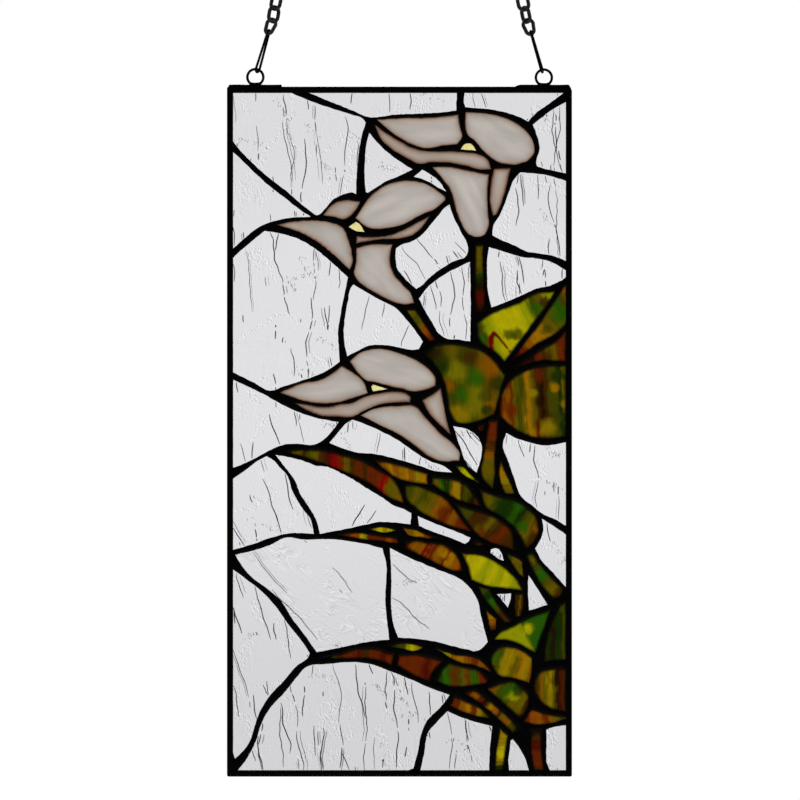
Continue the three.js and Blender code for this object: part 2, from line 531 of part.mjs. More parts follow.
const largest = [...openings].sort((a, b) => area(b[2]) - area(a[2])).slice(0, paneNodes);
for (const [name, kind, points] of largest) {
  addPiece(`glass_${name}`, paneGeometry(points), glass(kind));
}

// Where each top ring bears on its hook: the inside of the ring at its highest point.
const bearingHeights = [];

for (const [side, hanger] of Object.entries(hangers)) {
  const [x, z] = hanger.ring;
  const bed = place(ringGeometry(ringWire + 2 * gap), x, z);
  const cut = solid(cornerPlateGeometry(cornerPlates[side])).subtract(solid(bed));
  addPiece(`corner_plate_${side}`, geometryOf(cut), patina);
  addPiece(`hanging_ring_${side}`, place(ringGeometry(ringWire), x, z), patina);

  const wireUp = leanDirection(hanger.wireLean);
  const centre = new THREE.Vector3(x, 0, z);
  const wireHalf = (wireLink.length - wireLink.wire) / 2;
  const inRing = ringRadius - (ringWire + wireLink.wire) / 2 - looseFit;
  const wireMiddle = centre.clone().addScaledVector(wireUp, inRing + wireHalf);
  const link = hang(linkGeometry(wireLink), wireMiddle, hanger.wireLean, hanger.wireTurn);
  addPiece(`wire_link_${side}`, link, patina);

  const inLink = wireHalf - (wireLink.wire + chainLink.wire) / 2 - looseFit;
  const chainStart = wireMiddle.clone().addScaledVector(wireUp, inLink);
  const chain = chainGeometry(chainStart, hanger);
  addPiece(`chain_${side}`, chain.geometry, chainBlack);

  const lastTurn = hanger.turns[(chainLinks - 1) % 2];
  const drop = ringRadius - (ringWire + chainLink.wire) / 2 - looseFit;
  const ringCentre = chain.end.clone().addScaledVector(leanDirection(hanger.chainLean), drop);
  const topRing = hang(ringGeometry(ringWire), ringCentre, hanger.chainLean, lastTurn + 90);
  addPiece(`top_ring_${side}`, topRing, chainBlack);
  const bearing = (ringRadius - ringWire / 2) * Math.cos(radians(hanger.chainLean));
  bearingHeights.push(ringCentre.z + bearing);
}

const hangHeight = (bearingHeights[0] + bearingHeights[1]) / 2;
panel.position.set(-panelWidth / 2, 0, -hangHeight);

const window = new THREE.Group();
window.add(panel);

export default window;
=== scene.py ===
"""Hanging stained glass panel with three lilies: every visible surface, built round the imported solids."""

import json
import math
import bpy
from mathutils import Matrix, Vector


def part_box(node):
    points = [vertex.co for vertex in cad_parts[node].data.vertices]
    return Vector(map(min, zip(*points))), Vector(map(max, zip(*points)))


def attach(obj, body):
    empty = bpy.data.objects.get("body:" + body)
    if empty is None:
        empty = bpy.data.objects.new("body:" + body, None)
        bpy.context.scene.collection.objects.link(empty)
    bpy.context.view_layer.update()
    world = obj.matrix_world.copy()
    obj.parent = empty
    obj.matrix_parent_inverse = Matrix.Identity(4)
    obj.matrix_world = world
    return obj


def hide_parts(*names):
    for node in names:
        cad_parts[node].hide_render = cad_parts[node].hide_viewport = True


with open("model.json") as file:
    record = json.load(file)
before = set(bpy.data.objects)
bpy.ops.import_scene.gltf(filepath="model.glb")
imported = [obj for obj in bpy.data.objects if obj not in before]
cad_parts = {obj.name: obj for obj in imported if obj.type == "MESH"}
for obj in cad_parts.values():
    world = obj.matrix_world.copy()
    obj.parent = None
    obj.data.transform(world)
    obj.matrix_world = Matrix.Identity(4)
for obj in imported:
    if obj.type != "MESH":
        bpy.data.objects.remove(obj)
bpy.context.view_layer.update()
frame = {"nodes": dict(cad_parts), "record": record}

from types import SimpleNamespace

import bpy
import numpy as np
from bpy.props import FloatProperty, FloatVectorProperty, IntProperty, PointerProperty
from mathutils import Vector, geometry

bl_info = {
    "name": "Lily Panel",
    "version": (1, 0, 0),
    "blender": (4, 5, 0),
    "location": "3D View > Sidebar > Lily Panel",
    "description": "Builds the glass, solder, frame and chains of a hanging lily panel",
    "category": "Object",
}

MM = 0.001

# Panel coordinates are millimetres from the frame's lower left corner: x to the right, z up, y to the back.
FRAME_LOW, FRAME_HIGH = (np.array(corner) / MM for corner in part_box("frame"))
ORIGIN = np.array([FRAME_LOW[0], 0.0, FRAME_LOW[2]])
WIDTH = FRAME_HIGH[0] - FRAME_LOW[0]
HEIGHT = FRAME_HIGH[2] - FRAME_LOW[2]
FRAME_HALF = FRAME_HIGH[1]


# ---- Colours and the look of each pane ----

# Glass colours by a glazier's name, as red, green and blue of 255.
PALETTE = {
    "yellow": (172, 163, 5),
    "lime": (140, 142, 4),
    "mustard": (136, 113, 3),
    "honey": (150, 104, 3),
    "amber": (124, 74, 2),
    "orange": (132, 62, 3),
    "reed": (112, 106, 3),
    "olive": (92, 78, 2),
    "moss": (60, 62, 2),
    "green": (38, 82, 3),
    "forest": (20, 40, 2),
    "rust": (92, 32, 2),
    "scarlet": (128, 5, 2),
    "wine": (70, 12, 2),
    "umber": (58, 33, 1),
    "bark": (28, 13, 1),
}

# Each streaky pane: the direction in degrees in which its colours follow one another, and those colours in
# order.
STREAKS = {
    "leaf1_tail": (-5, "moss olive umber moss olive umber wine scarlet rust olive umber rust umber "
                       "rust rust scarlet olive olive amber"),
    "leaf1_amber_tip": (0, "rust amber honey amber honey amber mustard honey"),
    "leaf1_upper_middle": (0, "moss olive green forest moss honey mustard umber moss bark umber rust"),
    "leaf1_low_middle": (-25, "moss olive moss olive amber rust amber rust rust"),
    "leaf1_brown_heart": (-42, "umber moss umber umber olive umber rust umber umber"),
    "leaf1_green_tip": (-32, "umber olive moss forest forest green forest moss olive umber"),
    "leaf2_lower_tail": (0, "rust rust orange orange yellow rust rust rust orange rust"),
    "leaf2_lime_tip": (0, "amber yellow mustard yellow"),
    "leaf2_upper_middle": (-10, "amber olive honey orange rust umber"),
    "leaf2_heart": (-31, "rust amber amber amber orange rust amber amber rust honey amber orange rust"),
    "leaf2_dark_chip": (0, "bark umber"),
    "leaf2_lime_end": (-24, "mustard yellow yellow lime yellow lime yellow lime lime"),
    "leaf2_end_chip": (0, "moss olive olive"),
    "leaf3_red_tail": (0, "bark moss umber rust rust wine umber rust rust wine rust"),
    "leaf3_lime_chip": (0, "forest moss yellow mustard"),
    "leaf3_rust_middle": (0, "rust rust rust rust wine rust rust"),
    "leaf3_amber_strip": (0, "mustard lime amber honey amber rust amber orange"),
    "leaf3_green_middle": (0, "forest green green moss rust moss olive rust green moss rust rust"),
    "leaf3_yellow_heart": (-20, "olive moss mustard mustard olive honey mustard amber"),
    "leaf3_lime_top": (22, "lime lime lime lime green green green moss"),
    "leaf3_green_side": (0, "bark forest bark forest forest moss"),
    "leaf3_right_olive": (0, "umber olive amber olive mustard olive bark wine umber"),
    "leaf3_green_heart": (-35, "orange olive moss moss green moss olive olive olive umber"),
    "leaf3_stem_band": (-38, "rust amber rust bark honey amber wine olive amber moss bark"),
    "leaf3_low_amber": (-15, "rust rust amber honey rust mustard olive forest"),
    "leaf3_low_rust": (0, "rust orange amber rust amber olive moss"),
    "leaf4_lime_top": (24, "moss lime yellow yellow yellow lime moss olive lime"),
    "leaf4_green_side": (42, "wine rust amber honey honey olive olive green moss amber"),
    "leaf4_ruby": (12, "bark wine bark rust umber olive rust rust"),
    "leaf4_olive_heart": (0, "forest moss moss moss moss moss olive amber olive"),
    "leaf4_amber_side": (4, "rust amber rust olive moss olive honey olive umber bark umber moss "
                             "moss forest olive"),
    "stem_middle": (90, "moss olive olive amber umber rust rust"),
    "stem_middle_chip": (0, "wine bark"),
    "stem_middle_sliver": (90, "olive mustard honey honey"),
    "stem_right": (-48, "moss olive moss green green moss olive olive umber"),
    "stem_short": (0, "umber umber olive umber umber"),
    "stem_long": (-55, "moss forest green moss umber umber"),
    "stem_left_chip": (90, "umber amber honey"),
    "stem_foot_left": (90, "forest mustard yellow mustard mustard mustard"),
    "stem_foot_right": (90, "umber rust rust rust wine wine umber bark"),
    "lily1_stem": (90, "bark wine wine bark forest moss olive olive olive"),
    "lily2_stem": (-50, "olive moss olive orange rust"),
    "lily3_stem": (-40, "moss lime yellow lime lime"),
}

# Soft blobs of another colour in a pane, as x, z, radius and colour.
BLOBS = {
    "leaf4_olive_heart": ((169, 298, 8, "reed"), (163, 288, 5, "amber"), (182, 281, 8, "reed"),
                          (183, 272, 7, "reed"), (171, 266, 9, "mustard"), (184, 294, 7, "green"),
                          (198, 289, 8, "forest"), (191, 270, 5, "forest"), (174, 281, 6, "green"),
                          (166, 314, 6, "olive"), (178, 310, 7, "umber"), (194, 304, 9, "amber"),
                          (151, 310, 9, "bark"), (158, 302, 6, "forest"), (192, 280, 6, "moss")),
    "leaf4_amber_side": ((241, 286.5, 3.6, "honey"), (236, 257, 6.5, "mustard"), (210, 270, 6, "rust"),
                         (225, 283, 3.2, "mustard"), (249, 274, 3.4, "mustard"), (231, 276, 4, "bark"),
                         (229, 296, 5, "rust"), (244, 295, 5, "forest")),
    "leaf4_lime_top": ((228, 345, 5.5, "green"), (208, 326, 4, "moss"), (214, 326.5, 4, "moss"),
                       (187, 322, 4.5, "green"), (234, 350, 4, "umber"), (239, 355, 3, "lime")),
    "leaf4_green_side": ((243, 338, 6, "green"), (236, 330, 4, "moss")),
    "leaf3_lime_top": ((221, 109, 4.5, "yellow"), (234, 117, 6, "green")),
    "leaf3_yellow_heart": ((197, 89, 6, "green"), (206, 84, 5, "mustard"), (216, 92, 4, "honey")),
    "leaf3_green_heart": ((210, 59, 4.5, "lime"), (206, 63, 4, "green"), (214, 64, 4, "forest")),
    "leaf1_green_tip": ((218, 184, 4.5, "green"), (205, 194, 6, "forest"), (226, 183, 3, "amber")),
    "leaf1_brown_heart": ((187, 180, 4, "rust"), (176, 194, 5, "moss")),
    "leaf1_low_middle": ((158, 194, 4, "rust"), (143, 198, 5, "olive")),
    "leaf2_heart": ((158, 165, 4, "honey"), (166, 168, 3, "rust")),
}

# Veins of dark red glass in a pane, as lines of x, z and half the vein's width.
RED_VEINS = {
    "leaf4_lime_top": (((194.8, 315, 1.3), (194.3, 322.5, 1.5), (196.5, 326.6, 1.0), (199.8, 323.8, 0.6),
                        (204.4, 318.1, 0.5), (208.7, 312.7, 0.45)),),
    "leaf4_amber_side": (((229.0, 263, 0.3), (229.3, 256, 0.6), (229.2, 250, 0.6)),),
    "leaf2_heart": (((143.2, 162.5, 0.7), (148.5, 171.5, 0.7)), ((145.8, 162, 0.5), (150.6, 170.9, 0.5))),
}

# Panes too small for a solid of their own: a point inside each.
SMALL_PANES = {
    "clear_right_foot": (243, 20),
    "clear_lily_side": (178, 243),
    "clear_leaf_strip": (159, 181),
    "clear_stem_foot": (212, 12),
    "clear_bit_right": (227, 132),
    "clear_lily_gap": (148, 441),
    "clear_bit_middle": (205, 132),
    "clear_bit_upper": (199, 164),
    "lily1_turned_edge": (200, 433),
    "lily1_spadix": (178, 463),
    "lily2_back_petal": (85, 418),
    "lily2_rim": (124, 400),
    "lily2_spadix": (96, 404),
    "lily3_side_petal": (155, 270),
    "lily3_spadix": (111, 286),
    "lily1_stem": (186, 366),
    "lily2_stem": (143, 333),
    "lily3_stem": (177, 223),
    "leaf1_upper_middle": (169, 211),
    "leaf1_amber_tip": (130, 223),
    "leaf2_lower_tail": (107, 176),
    "leaf2_lime_tip": (115, 182),
    "leaf2_upper_middle": (141, 179),
    "leaf2_dark_chip": (184, 171),
    "leaf2_end_chip": (214, 156),
    "leaf3_red_tail": (103, 89),
    "leaf3_lime_chip": (133, 96),
    "leaf3_rust_middle": (141, 82),
    "leaf3_amber_strip": (177, 85),
    "leaf3_green_middle": (173, 73),
    "leaf3_green_heart": (210, 58),
    "leaf3_stem_band": (197, 48),
    "leaf3_low_amber": (177, 50),
    "leaf3_low_rust": (232, 43),
    "leaf4_ruby": (238, 312),
    "stem_middle": (194, 238),
    "stem_middle_chip": (187, 257),
    "stem_middle_sliver": (205, 217),
    "stem_right": (234, 146),
    "stem_short": (215, 126),
    "stem_long": (197, 127),
    "stem_left_chip": (195, 114),
    "stem_foot_left": (202, 19),
    "stem_foot_right": (228, 19),
}

# Clear panes whose folds run otherwise than down, or are fewer or more: direction in degrees and share.
DOWN = -89.0
PANE_FOLDS = {
    "clear_top_middle": (DOWN, 0.8),
    "clear_top_right": (-80, 0.6),
    "clear_right_upper": (-86, 1.9),
    "clear_right_middle": (-88, 1.3),
    "clear_right_lower": (-84, 0.9),
    "clear_right_leaf": (-86, 1.4),
    "clear_right_stem": (DOWN, 0.9),
    "clear_left_upper": (DOWN, 0.7),
    "clear_left_middle": (-87, 1.25),
    "clear_left_lower": (-80, 0.7),
    "clear_centre_left": (-96, 0.8),
    "clear_centre_right": (-88, 1.4),
    "clear_centre_upper": (-80, 0.2),
    "clear_centre_slope": (-58, 1.4),
    "clear_lily_side": (-58, 1.7),
    "clear_left_leaf": (-68, 1.1),
    "clear_under_leaf": (66, 0.3),
    "clear_leaf_strip": (70, 0.3),
    "clear_slope_left": (-52, 0.25),
    "clear_low_centre": (-34, 0.1),
    "clear_low_left": (-76, 1.3),
    "clear_bottom_middle": (-84, 1.5),
    "clear_right_foot": (-90, 0.4),
    "clear_bottom_right": (-87, 1.2),
    "clear_stem_foot": (DOWN, 0.3),
    "clear_bit_right": (-65, 0.5),
}

# Panes with soft flow lines in place of most of their dark folds.
SOFT_PANES = ("clear_slope_left", "clear_low_centre")


# ---- Lines and outlines in the panel's plane ----

# Where an outline keeps its corners: at turns over the first, and at turns over the second beside a run
# that is several times as long as its neighbour. Both are in degrees.
SHARP_TURN = 48.0
SLIGHT_TURN = 10.0
UNEVEN_RUNS = 3.0
# How much faster than the neighbouring run a curve may pass a point.
QUICKEST = 2.5


def around(count):
    """Angles once round a circle."""
    return np.linspace(0, 2 * math.pi, count, endpoint=False)


def shares(count):
    """For runs cut into count steps each: every step's run, and the share of the run at which it starts."""
    run = np.repeat(np.arange(len(count)), count)
    return run, (np.arange(len(run)) - np.repeat(np.cumsum(count) - count, count)) / count[run]


def rounded_loop(points, step, corner=SHARP_TURN):
    """A closed curve through the points, sampled about every step.

    Between two points it is a cubic with the chord's length as its speed. Its direction at a point is the
    mean of the two chords' directions, each weighted by the other chord's length. A point where the chords
    turn by more than the corner angle keeps the chords' own directions, and so does a lesser turn beside a
    long run.
    """
    chord = np.roll(points, -1, axis=0) - points
    length = np.linalg.norm(chord, axis=1)
    along = chord / length[:, None]
    before = np.roll(along, 1, axis=0)
    length_before = np.roll(length, 1)
    tangent = before * length[:, None] + along * length_before[:, None]
    tangent /= np.linalg.norm(tangent, axis=1)[:, None]
    turn = np.degrees(np.arccos(np.clip(np.einsum("ij,ij->i", before, along), -1, 1)))
    uneven = np.maximum(length, length_before) / np.minimum(length, length_before)
    sharp = (turn > corner) | ((uneven > UNEVEN_RUNS) & (turn > SLIGHT_TURN))
    leave = np.where(sharp[:, None], along, tangent)
    arrive = np.roll(np.where(sharp[:, None], before, tangent), -1, axis=0)
    speed = np.where(sharp, length, np.minimum(length, QUICKEST * length_before))
    end_speed = np.roll(np.where(sharp, length_before, np.minimum(length_before, QUICKEST * length)), -1)
    i, t = shares(np.maximum(1, np.ceil(length / step)).astype(int))
    t = t[:, None]
    start = (2 * t**3 - 3 * t**2 + 1) * points[i] + (t**3 - 2 * t**2 + t) * speed[i, None] * leave[i]
    after = np.roll(points, -1, axis=0)[i]
    return start + (3 * t**2 - 2 * t**3) * after + (t**3 - t**2) * end_speed[i, None] * arrive[i]


def signed_area(loop):
    """Half the sum of the cross products of following points: positive for a counter-clockwise loop."""
    after = np.roll(loop, -1, axis=0)
    return 0.5 * np.sum(loop[:, 0] * after[:, 1] - after[:, 0] * loop[:, 1])


def outward(loop):
    """The unit normal at each point of a counter-clockwise loop: its neighbours' direction, turned."""
    along = np.roll(loop, -1, axis=0) - np.roll(loop, 1, axis=0)
    along /= np.linalg.norm(along, axis=1)[:, None]
    return np.stack([along[:, 1], -along[:, 0]], axis=1)


def inside(points, loop):
    """Which points lie in the loop: a line to the right from them crosses it an odd number of times."""
    result = np.zeros(len(points), bool)
    low, high = loop.min(axis=0), loop.max(axis=0)
    near = np.flatnonzero(np.all((points > low) & (points < high), axis=1))
    if len(near) == 0:
        return result
    x, z = points[near, 0][:, None], points[near, 1][:, None]
    x0, z0 = loop.T
    x1, z1 = np.roll(loop, -1, axis=0).T
    rise = np.where(z1 == z0, 1.0, z1 - z0)
    crosses = ((z0 > z) != (z1 > z)) & (x < x0 + (z - z0) * (x1 - x0) / rise)
    result[near] = crosses.sum(axis=1) % 2 == 1
    return result


# How many points are measured at a time, to spare memory.
BLOCK = 4000


def edge_distance(points, loops):
    """The distance from each point to the nearest of the loops: to the two edges at its nearest loop
    point."""
    samples = np.concatenate(loops)
    before = np.concatenate([np.roll(loop, 1, axis=0) for loop in loops])
    after = np.concatenate([np.roll(loop, -1, axis=0) for loop in loops])
    middle = samples.mean(axis=0)
    flat = (samples - middle).astype(np.float32)
    squares = np.sum(flat**2, axis=1)
    nearest = np.empty(len(points), int)
    for start in range(0, len(points), BLOCK):
        part = (points[start:start + BLOCK] - middle).astype(np.float32)
        nearest[start:start + BLOCK] = np.argmin(squares - 2 * part @ flat.T, axis=1)
    at = samples[nearest]

    def to_edge(end):
        span = end - at
        size = np.maximum(np.einsum("ij,ij->i", span, span), 1e-12)
        share = np.einsum("ij,ij->i", points - at, span) / size
        return np.linalg.norm(points - at - np.clip(share, 0, 1)[:, None] * span, axis=1)

    return np.minimum(to_edge(before[nearest]), to_edge(after[nearest]))


def hexagon_grid(low, high, spacing):
    """Points in rows that are the spacing times the sine of 60 degrees apart, every other one half a step
    on."""
    rows = np.arange(low[1], high[1], spacing * math.sin(math.pi / 3))
    columns = np.arange(low[0], high[0], spacing)
    x, z = np.meshgrid(columns, rows)
    x = x + spacing / 2 * (np.arange(len(rows)) % 2)[:, None]
    return np.stack([x.ravel(), z.ravel()], axis=1)


def triangulated(loops, others):
    """Triangles between all the points, with the loops' own edges kept: points, counter-clockwise triples."""
    count = np.cumsum([0] + [len(loop) for loop in loops])
    edges = [np.stack([np.arange(a, b), np.roll(np.arange(a, b), -1)], axis=1)
             for a, b in zip(count, count[1:])]
    points = np.concatenate(loops + others)
    placed, _, triples, *_ = geometry.delaunay_2d_cdt(
        points.tolist(), np.concatenate(edges).tolist(), [], 0, 1e-6, False)
    placed = np.array(placed)
    triples = np.array(triples)
    a, b, c = (placed[triples[:, i]] for i in range(3))
    turn = (b[:, 0] - a[:, 0]) * (c[:, 1] - a[:, 1]) - (b[:, 1] - a[:, 1]) * (c[:, 0] - a[:, 0])
    triples[turn < 0] = triples[turn < 0][:, ::-1]
    return placed, triples[np.abs(turn) > 1e-9]


def waves(x, z, seed, count, shortest, longest, angle=None, spread=math.pi):
    """A smooth random height, about -1 to 1: a sum of sine waves of random directions, lengths and phases."""
    random = np.random.default_rng(seed)
    heading = random.uniform(-spread, spread, count) + (0.0 if angle is None else angle)
    length = random.uniform(shortest, longest, count)
    phase = random.uniform(0, 2 * math.pi, count)
    total = np.zeros_like(x)
    for direction, wave, start in zip(heading, length, phase):
        total += np.sin(2 * math.pi * (x * math.cos(direction) + z * math.sin(direction)) / wave + start)
    return total / math.sqrt(count)


# ---- Solid meshes ----

def slab(points, triples, front, back):
    """A closed plate over a flat triangulation: front and back are its depths before and behind the plane.

    The front faces look towards -y. Where an edge has a triangle on one side only, a wall joins the two
    faces.
    """
    n = len(points)
    x, z = points.T
    vertices = np.concatenate([np.stack([x, -front, z], axis=1), np.stack([x, back, z], axis=1)])
    start, end = (triples[:, (0, 1, 2)].ravel(), triples[:, (1, 2, 0)].ravel())
    single = ~np.isin(start * n + end, end * n + start)
    a, b = start[single], end[single]
    walls = np.concatenate([np.stack([a, a + n, b + n], axis=1), np.stack([a, b + n, b], axis=1)])
    return vertices, np.concatenate([triples, triples[:, ::-1] + n, walls])


def grid_triples(rows, columns, wrap_rows=True, wrap_columns=True):
    """The triangles of a grid of points, closed on itself along its rows, its columns or both."""
    i, j = np.meshgrid(np.arange(rows if wrap_rows else rows - 1),
                       np.arange(columns if wrap_columns else columns - 1), indexing="ij")
    i, j = i.ravel(), j.ravel()
    k, m = (i + 1) % rows, (j + 1) % columns
    a, b, c, d = i * columns + j, k * columns + j, k * columns + m, i * columns + m
    return np.concatenate([np.stack([a, b, c], axis=1), np.stack([a, c, d], axis=1)])


def facing_out(vertices, triples):
    """The triangles turned so that the closed surface's volume, the sum of a·(b×c)/6, is positive."""
    a, b, c = (vertices[triples[:, i]] for i in range(3))
    volume = np.einsum("ij,ij->i", a - vertices.mean(axis=0), np.cross(b - a, c - a)).sum()
    return triples if volume > 0 else triples[:, ::-1]


def joined(parts):
    """One list of vertices and triangles from several."""
    offset = np.cumsum([0] + [len(vertices) for vertices, _ in parts])
    return (np.concatenate([vertices for vertices, _ in parts]),
            np.concatenate([triples + start for (_, triples), start in zip(parts, offset)]))


def wire(path, normal, radius, sides=14):
    """A round wire along a closed flat path: path + radius·(cos u·side + sin u·normal), side in its plane."""
    along = np.roll(path, -1, axis=0) - np.roll(path, 1, axis=0)
    side = np.cross(along, normal)
    side /= np.linalg.norm(side, axis=1)[:, None]
    u = around(sides)
    radius = np.broadcast_to(radius, len(path))[:, None, None]
    ring = np.cos(u)[None, :, None] * side[:, None, :] + np.sin(u)[None, :, None] * np.asarray(normal)
    vertices = (path[:, None, :] + radius * ring).reshape(-1, 3)
    return vertices, facing_out(vertices, grid_triples(len(path), sides))


def capped(rings, first, last):
    """A closed surface from a row of closed rings of points, with one more point to close it at each end."""
    rows, columns = rings.shape[:2]
    n = rows * columns
    vertices = np.concatenate([rings.reshape(-1, 3), [first, last]])
    low = np.arange(columns)
    top = low + n - columns
    triples = [grid_triples(rows, columns, wrap_rows=False),
               np.stack([np.full(columns, n), low, np.roll(low, -1)], axis=1),
               np.stack([np.full(columns, n + 1), np.roll(top, -1), top], axis=1)]
    return vertices, facing_out(vertices, np.concatenate(triples))


def ball(radii, rows=14, columns=24):
    """A closed ellipsoid round the origin: radii·(cos v·cos u, cos v·sin u, sin v), a point at each pole."""
    v = np.linspace(-math.pi / 2, math.pi / 2, rows + 2)[1:-1, None]
    u = around(columns)
    unit = np.stack(np.broadcast_arrays(np.cos(v) * np.cos(u), np.cos(v) * np.sin(u), np.sin(v)), axis=2)
    pole = np.array([0, 0, radii[2]])
    return capped(unit * radii, -pole, pole)


def add_piece(name, vertices, triples, material, slot, stands_for=(), smooth=True, **values):
    """A piece of the object from panel coordinates, with any values at its vertices kept as attributes."""
    mesh = bpy.data.meshes.new(name)
    mesh.vertices.add(len(vertices))
    mesh.vertices.foreach_set("co", ((vertices + ORIGIN) * MM).astype(np.float32).ravel())
    mesh.loops.add(3 * len(triples))
    mesh.loops.foreach_set("vertex_index", triples.astype(np.int32).ravel())
    mesh.polygons.add(len(triples))
    mesh.polygons.foreach_set("loop_start", np.arange(0, 3 * len(triples), 3, dtype=np.int32))
    mesh.polygons.foreach_set("use_smooth", np.full(len(triples), smooth))
    mesh.update(calc_edges=True)
    for key, value in values.items():
        mesh.attributes.new(key, "FLOAT", "POINT").data.foreach_set("value", np.asarray(value, np.float32))
    mesh.materials.append(material)
    piece = bpy.data.objects.new(name, mesh)
    bpy.context.scene.collection.objects.link(piece)
    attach(piece, "root")
    if stands_for:
        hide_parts(*stands_for)
    return piece


# ---- The openings in the leading ----

def closed_walks(start, end, number):
    """The closed walks along the edges between numbered points, each as its points in order.

    Every point looks one step ahead, then two, four and so on. It learns the lowest number on its walk, and
    how many steps lead to the point with that number.
    """
    here = np.arange(number)
    ahead = here.copy()
    ahead[start] = end
    doublings = range(number.bit_length())
    lowest, jump = here, ahead
    for _ in doublings:
        lowest = np.minimum(lowest, lowest[jump])
        jump = jump[jump]
    steps = (here != lowest).astype(int)
    jump = np.where(here == lowest, here, ahead)
    for _ in doublings:
        steps = steps + steps[jump]
        jump = jump[jump]
    steps[here == lowest] = number
    used = np.unique(start)
    used = used[np.lexsort((-steps[used], lowest[used]))]
    return np.split(used, np.flatnonzero(np.diff(lowest[used])) + 1)


def leading_loops():
    """The edges of the leading's front face: each opening's outline, and the outer one, as panel points.

    An edge of the front face belongs to an outline if no other triangle of it runs along it the other way.
    """
    mesh = frame["nodes"]["leading"].data
    points = np.empty(3 * len(mesh.vertices))
    mesh.vertices.foreach_get("co", points)
    points = points.reshape(-1, 3) / MM - ORIGIN
    corners = np.empty(3 * len(mesh.polygons), int)
    mesh.polygons.foreach_get("vertices", corners)
    corners = corners.reshape(-1, 3)
    front = corners[np.all(points[corners][:, :, 1] < 0, axis=1)]
    flat, which = np.unique(np.round(points[:, (0, 2)], 3), axis=0, return_inverse=True)
    which = which.ravel()[front]
    start, end = which.ravel(), which[:, (1, 2, 0)].ravel()
    single = ~np.isin(start * len(flat) + end, end * len(flat) + start)
    loops = [flat[walk] for walk in closed_walks(start[single], end[single], len(flat))]
    loops = [loop if signed_area(loop) > 0 else loop[::-1] for loop in loops]
    return sorted(loops, key=lambda loop: -signed_area(loop))


def named_openings(loops):
    """Each opening's pane name: that of the glass solid with the same box, or of the small pane inside it."""
    boxes = {}
    for node in frame["nodes"]:
        if node.startswith("glass_"):
            low, high = (np.array(corner)[[0, 2]] / MM - ORIGIN[[0, 2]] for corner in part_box(node))
            boxes[node.removeprefix("glass_")] = (low + high) / 2
    seeds = np.array(list(SMALL_PANES.values()), float)
    names = {}
    for loop in loops:
        middle = (loop.min(axis=0) + loop.max(axis=0)) / 2
        name = min(boxes, key=lambda key: np.linalg.norm(boxes[key] - middle))
        if np.linalg.norm(boxes[name] - middle) > 1.0:
            held = np.flatnonzero(inside(seeds, loop))
            if len(held) != 1:
                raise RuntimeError(f"an opening near {middle} holds {len(held)} small panes")
            name = list(SMALL_PANES)[held[0]]
        names[name] = loop
    if len(names) != len(loops):
        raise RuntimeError("two openings have the same pane")
    return names


def hand_cut(loop, seed):
    """The loop with the small unevenness of a solder line's edge: moved along its normals by a tenth of a
    millimetre."""
    wavering = waves(loop[:, 0], loop[:, 1], seed, count=8, shortest=2.5, longest=11)
    return loop + 0.11 * wavering[:, None] * outward(loop)


OUTLINE_STEP = 1.0
SHEET_STEP = 2.0
FRAME_STEP = 4.0
ALL_LOOPS = leading_loops()
SHEET_EDGE = rounded_loop(ALL_LOOPS[0], SHEET_STEP, corner=0.0)
OPENINGS = {name: hand_cut(rounded_loop(loop, OUTLINE_STEP), number)
            for number, (name, loop) in enumerate(named_openings(ALL_LOOPS[1:]).items())}


# ---- Materials ----

def linear(colour):
    """A colour of 255 as linear light."""
    c = np.asarray(colour, float) / 255
    return tuple(np.where(c <= 0.04045, c / 12.92, ((c + 0.055) / 1.055) ** 2.4)) + (1.0,)


def opaque(colour):
    """A red, green and blue setting as a socket's colour."""
    return tuple(colour) + (1.0,)


class Nodes:
    """Short ways to add nodes to a material or a world, and to feed the shader that it comes with."""

    def __init__(self, owner):
        owner.use_nodes = True
        self.tree = owner.node_tree
        self.shader = next(node for node in self.tree.nodes if node.type in ("BSDF_PRINCIPLED", "BACKGROUND"))

    def feed(self, socket, value):
        """Link another node's output to the socket, or set a constant on it."""
        if isinstance(value, bpy.types.NodeSocket):
            self.tree.links.new(value, socket)
        else:
            socket.default_value = value

    def add(self, kind, inputs=None, **settings):
        node = self.tree.nodes.new(kind)
        for key, value in settings.items():
            setattr(node, key, value)
        for key, value in (inputs or {}).items():
            self.feed(node.inputs[key], value)
        return node

    def maths(self, operation, a, b=0.0):
        return self.add("ShaderNodeMath", {0: a, 1: b}, operation=operation).outputs[0]

    def shade(self, **values):
        """Feed the shader's own sockets, whose names are written with underscores."""
        for key, value in values.items():
            self.feed(self.shader.inputs[key.replace("_", " ")], value)


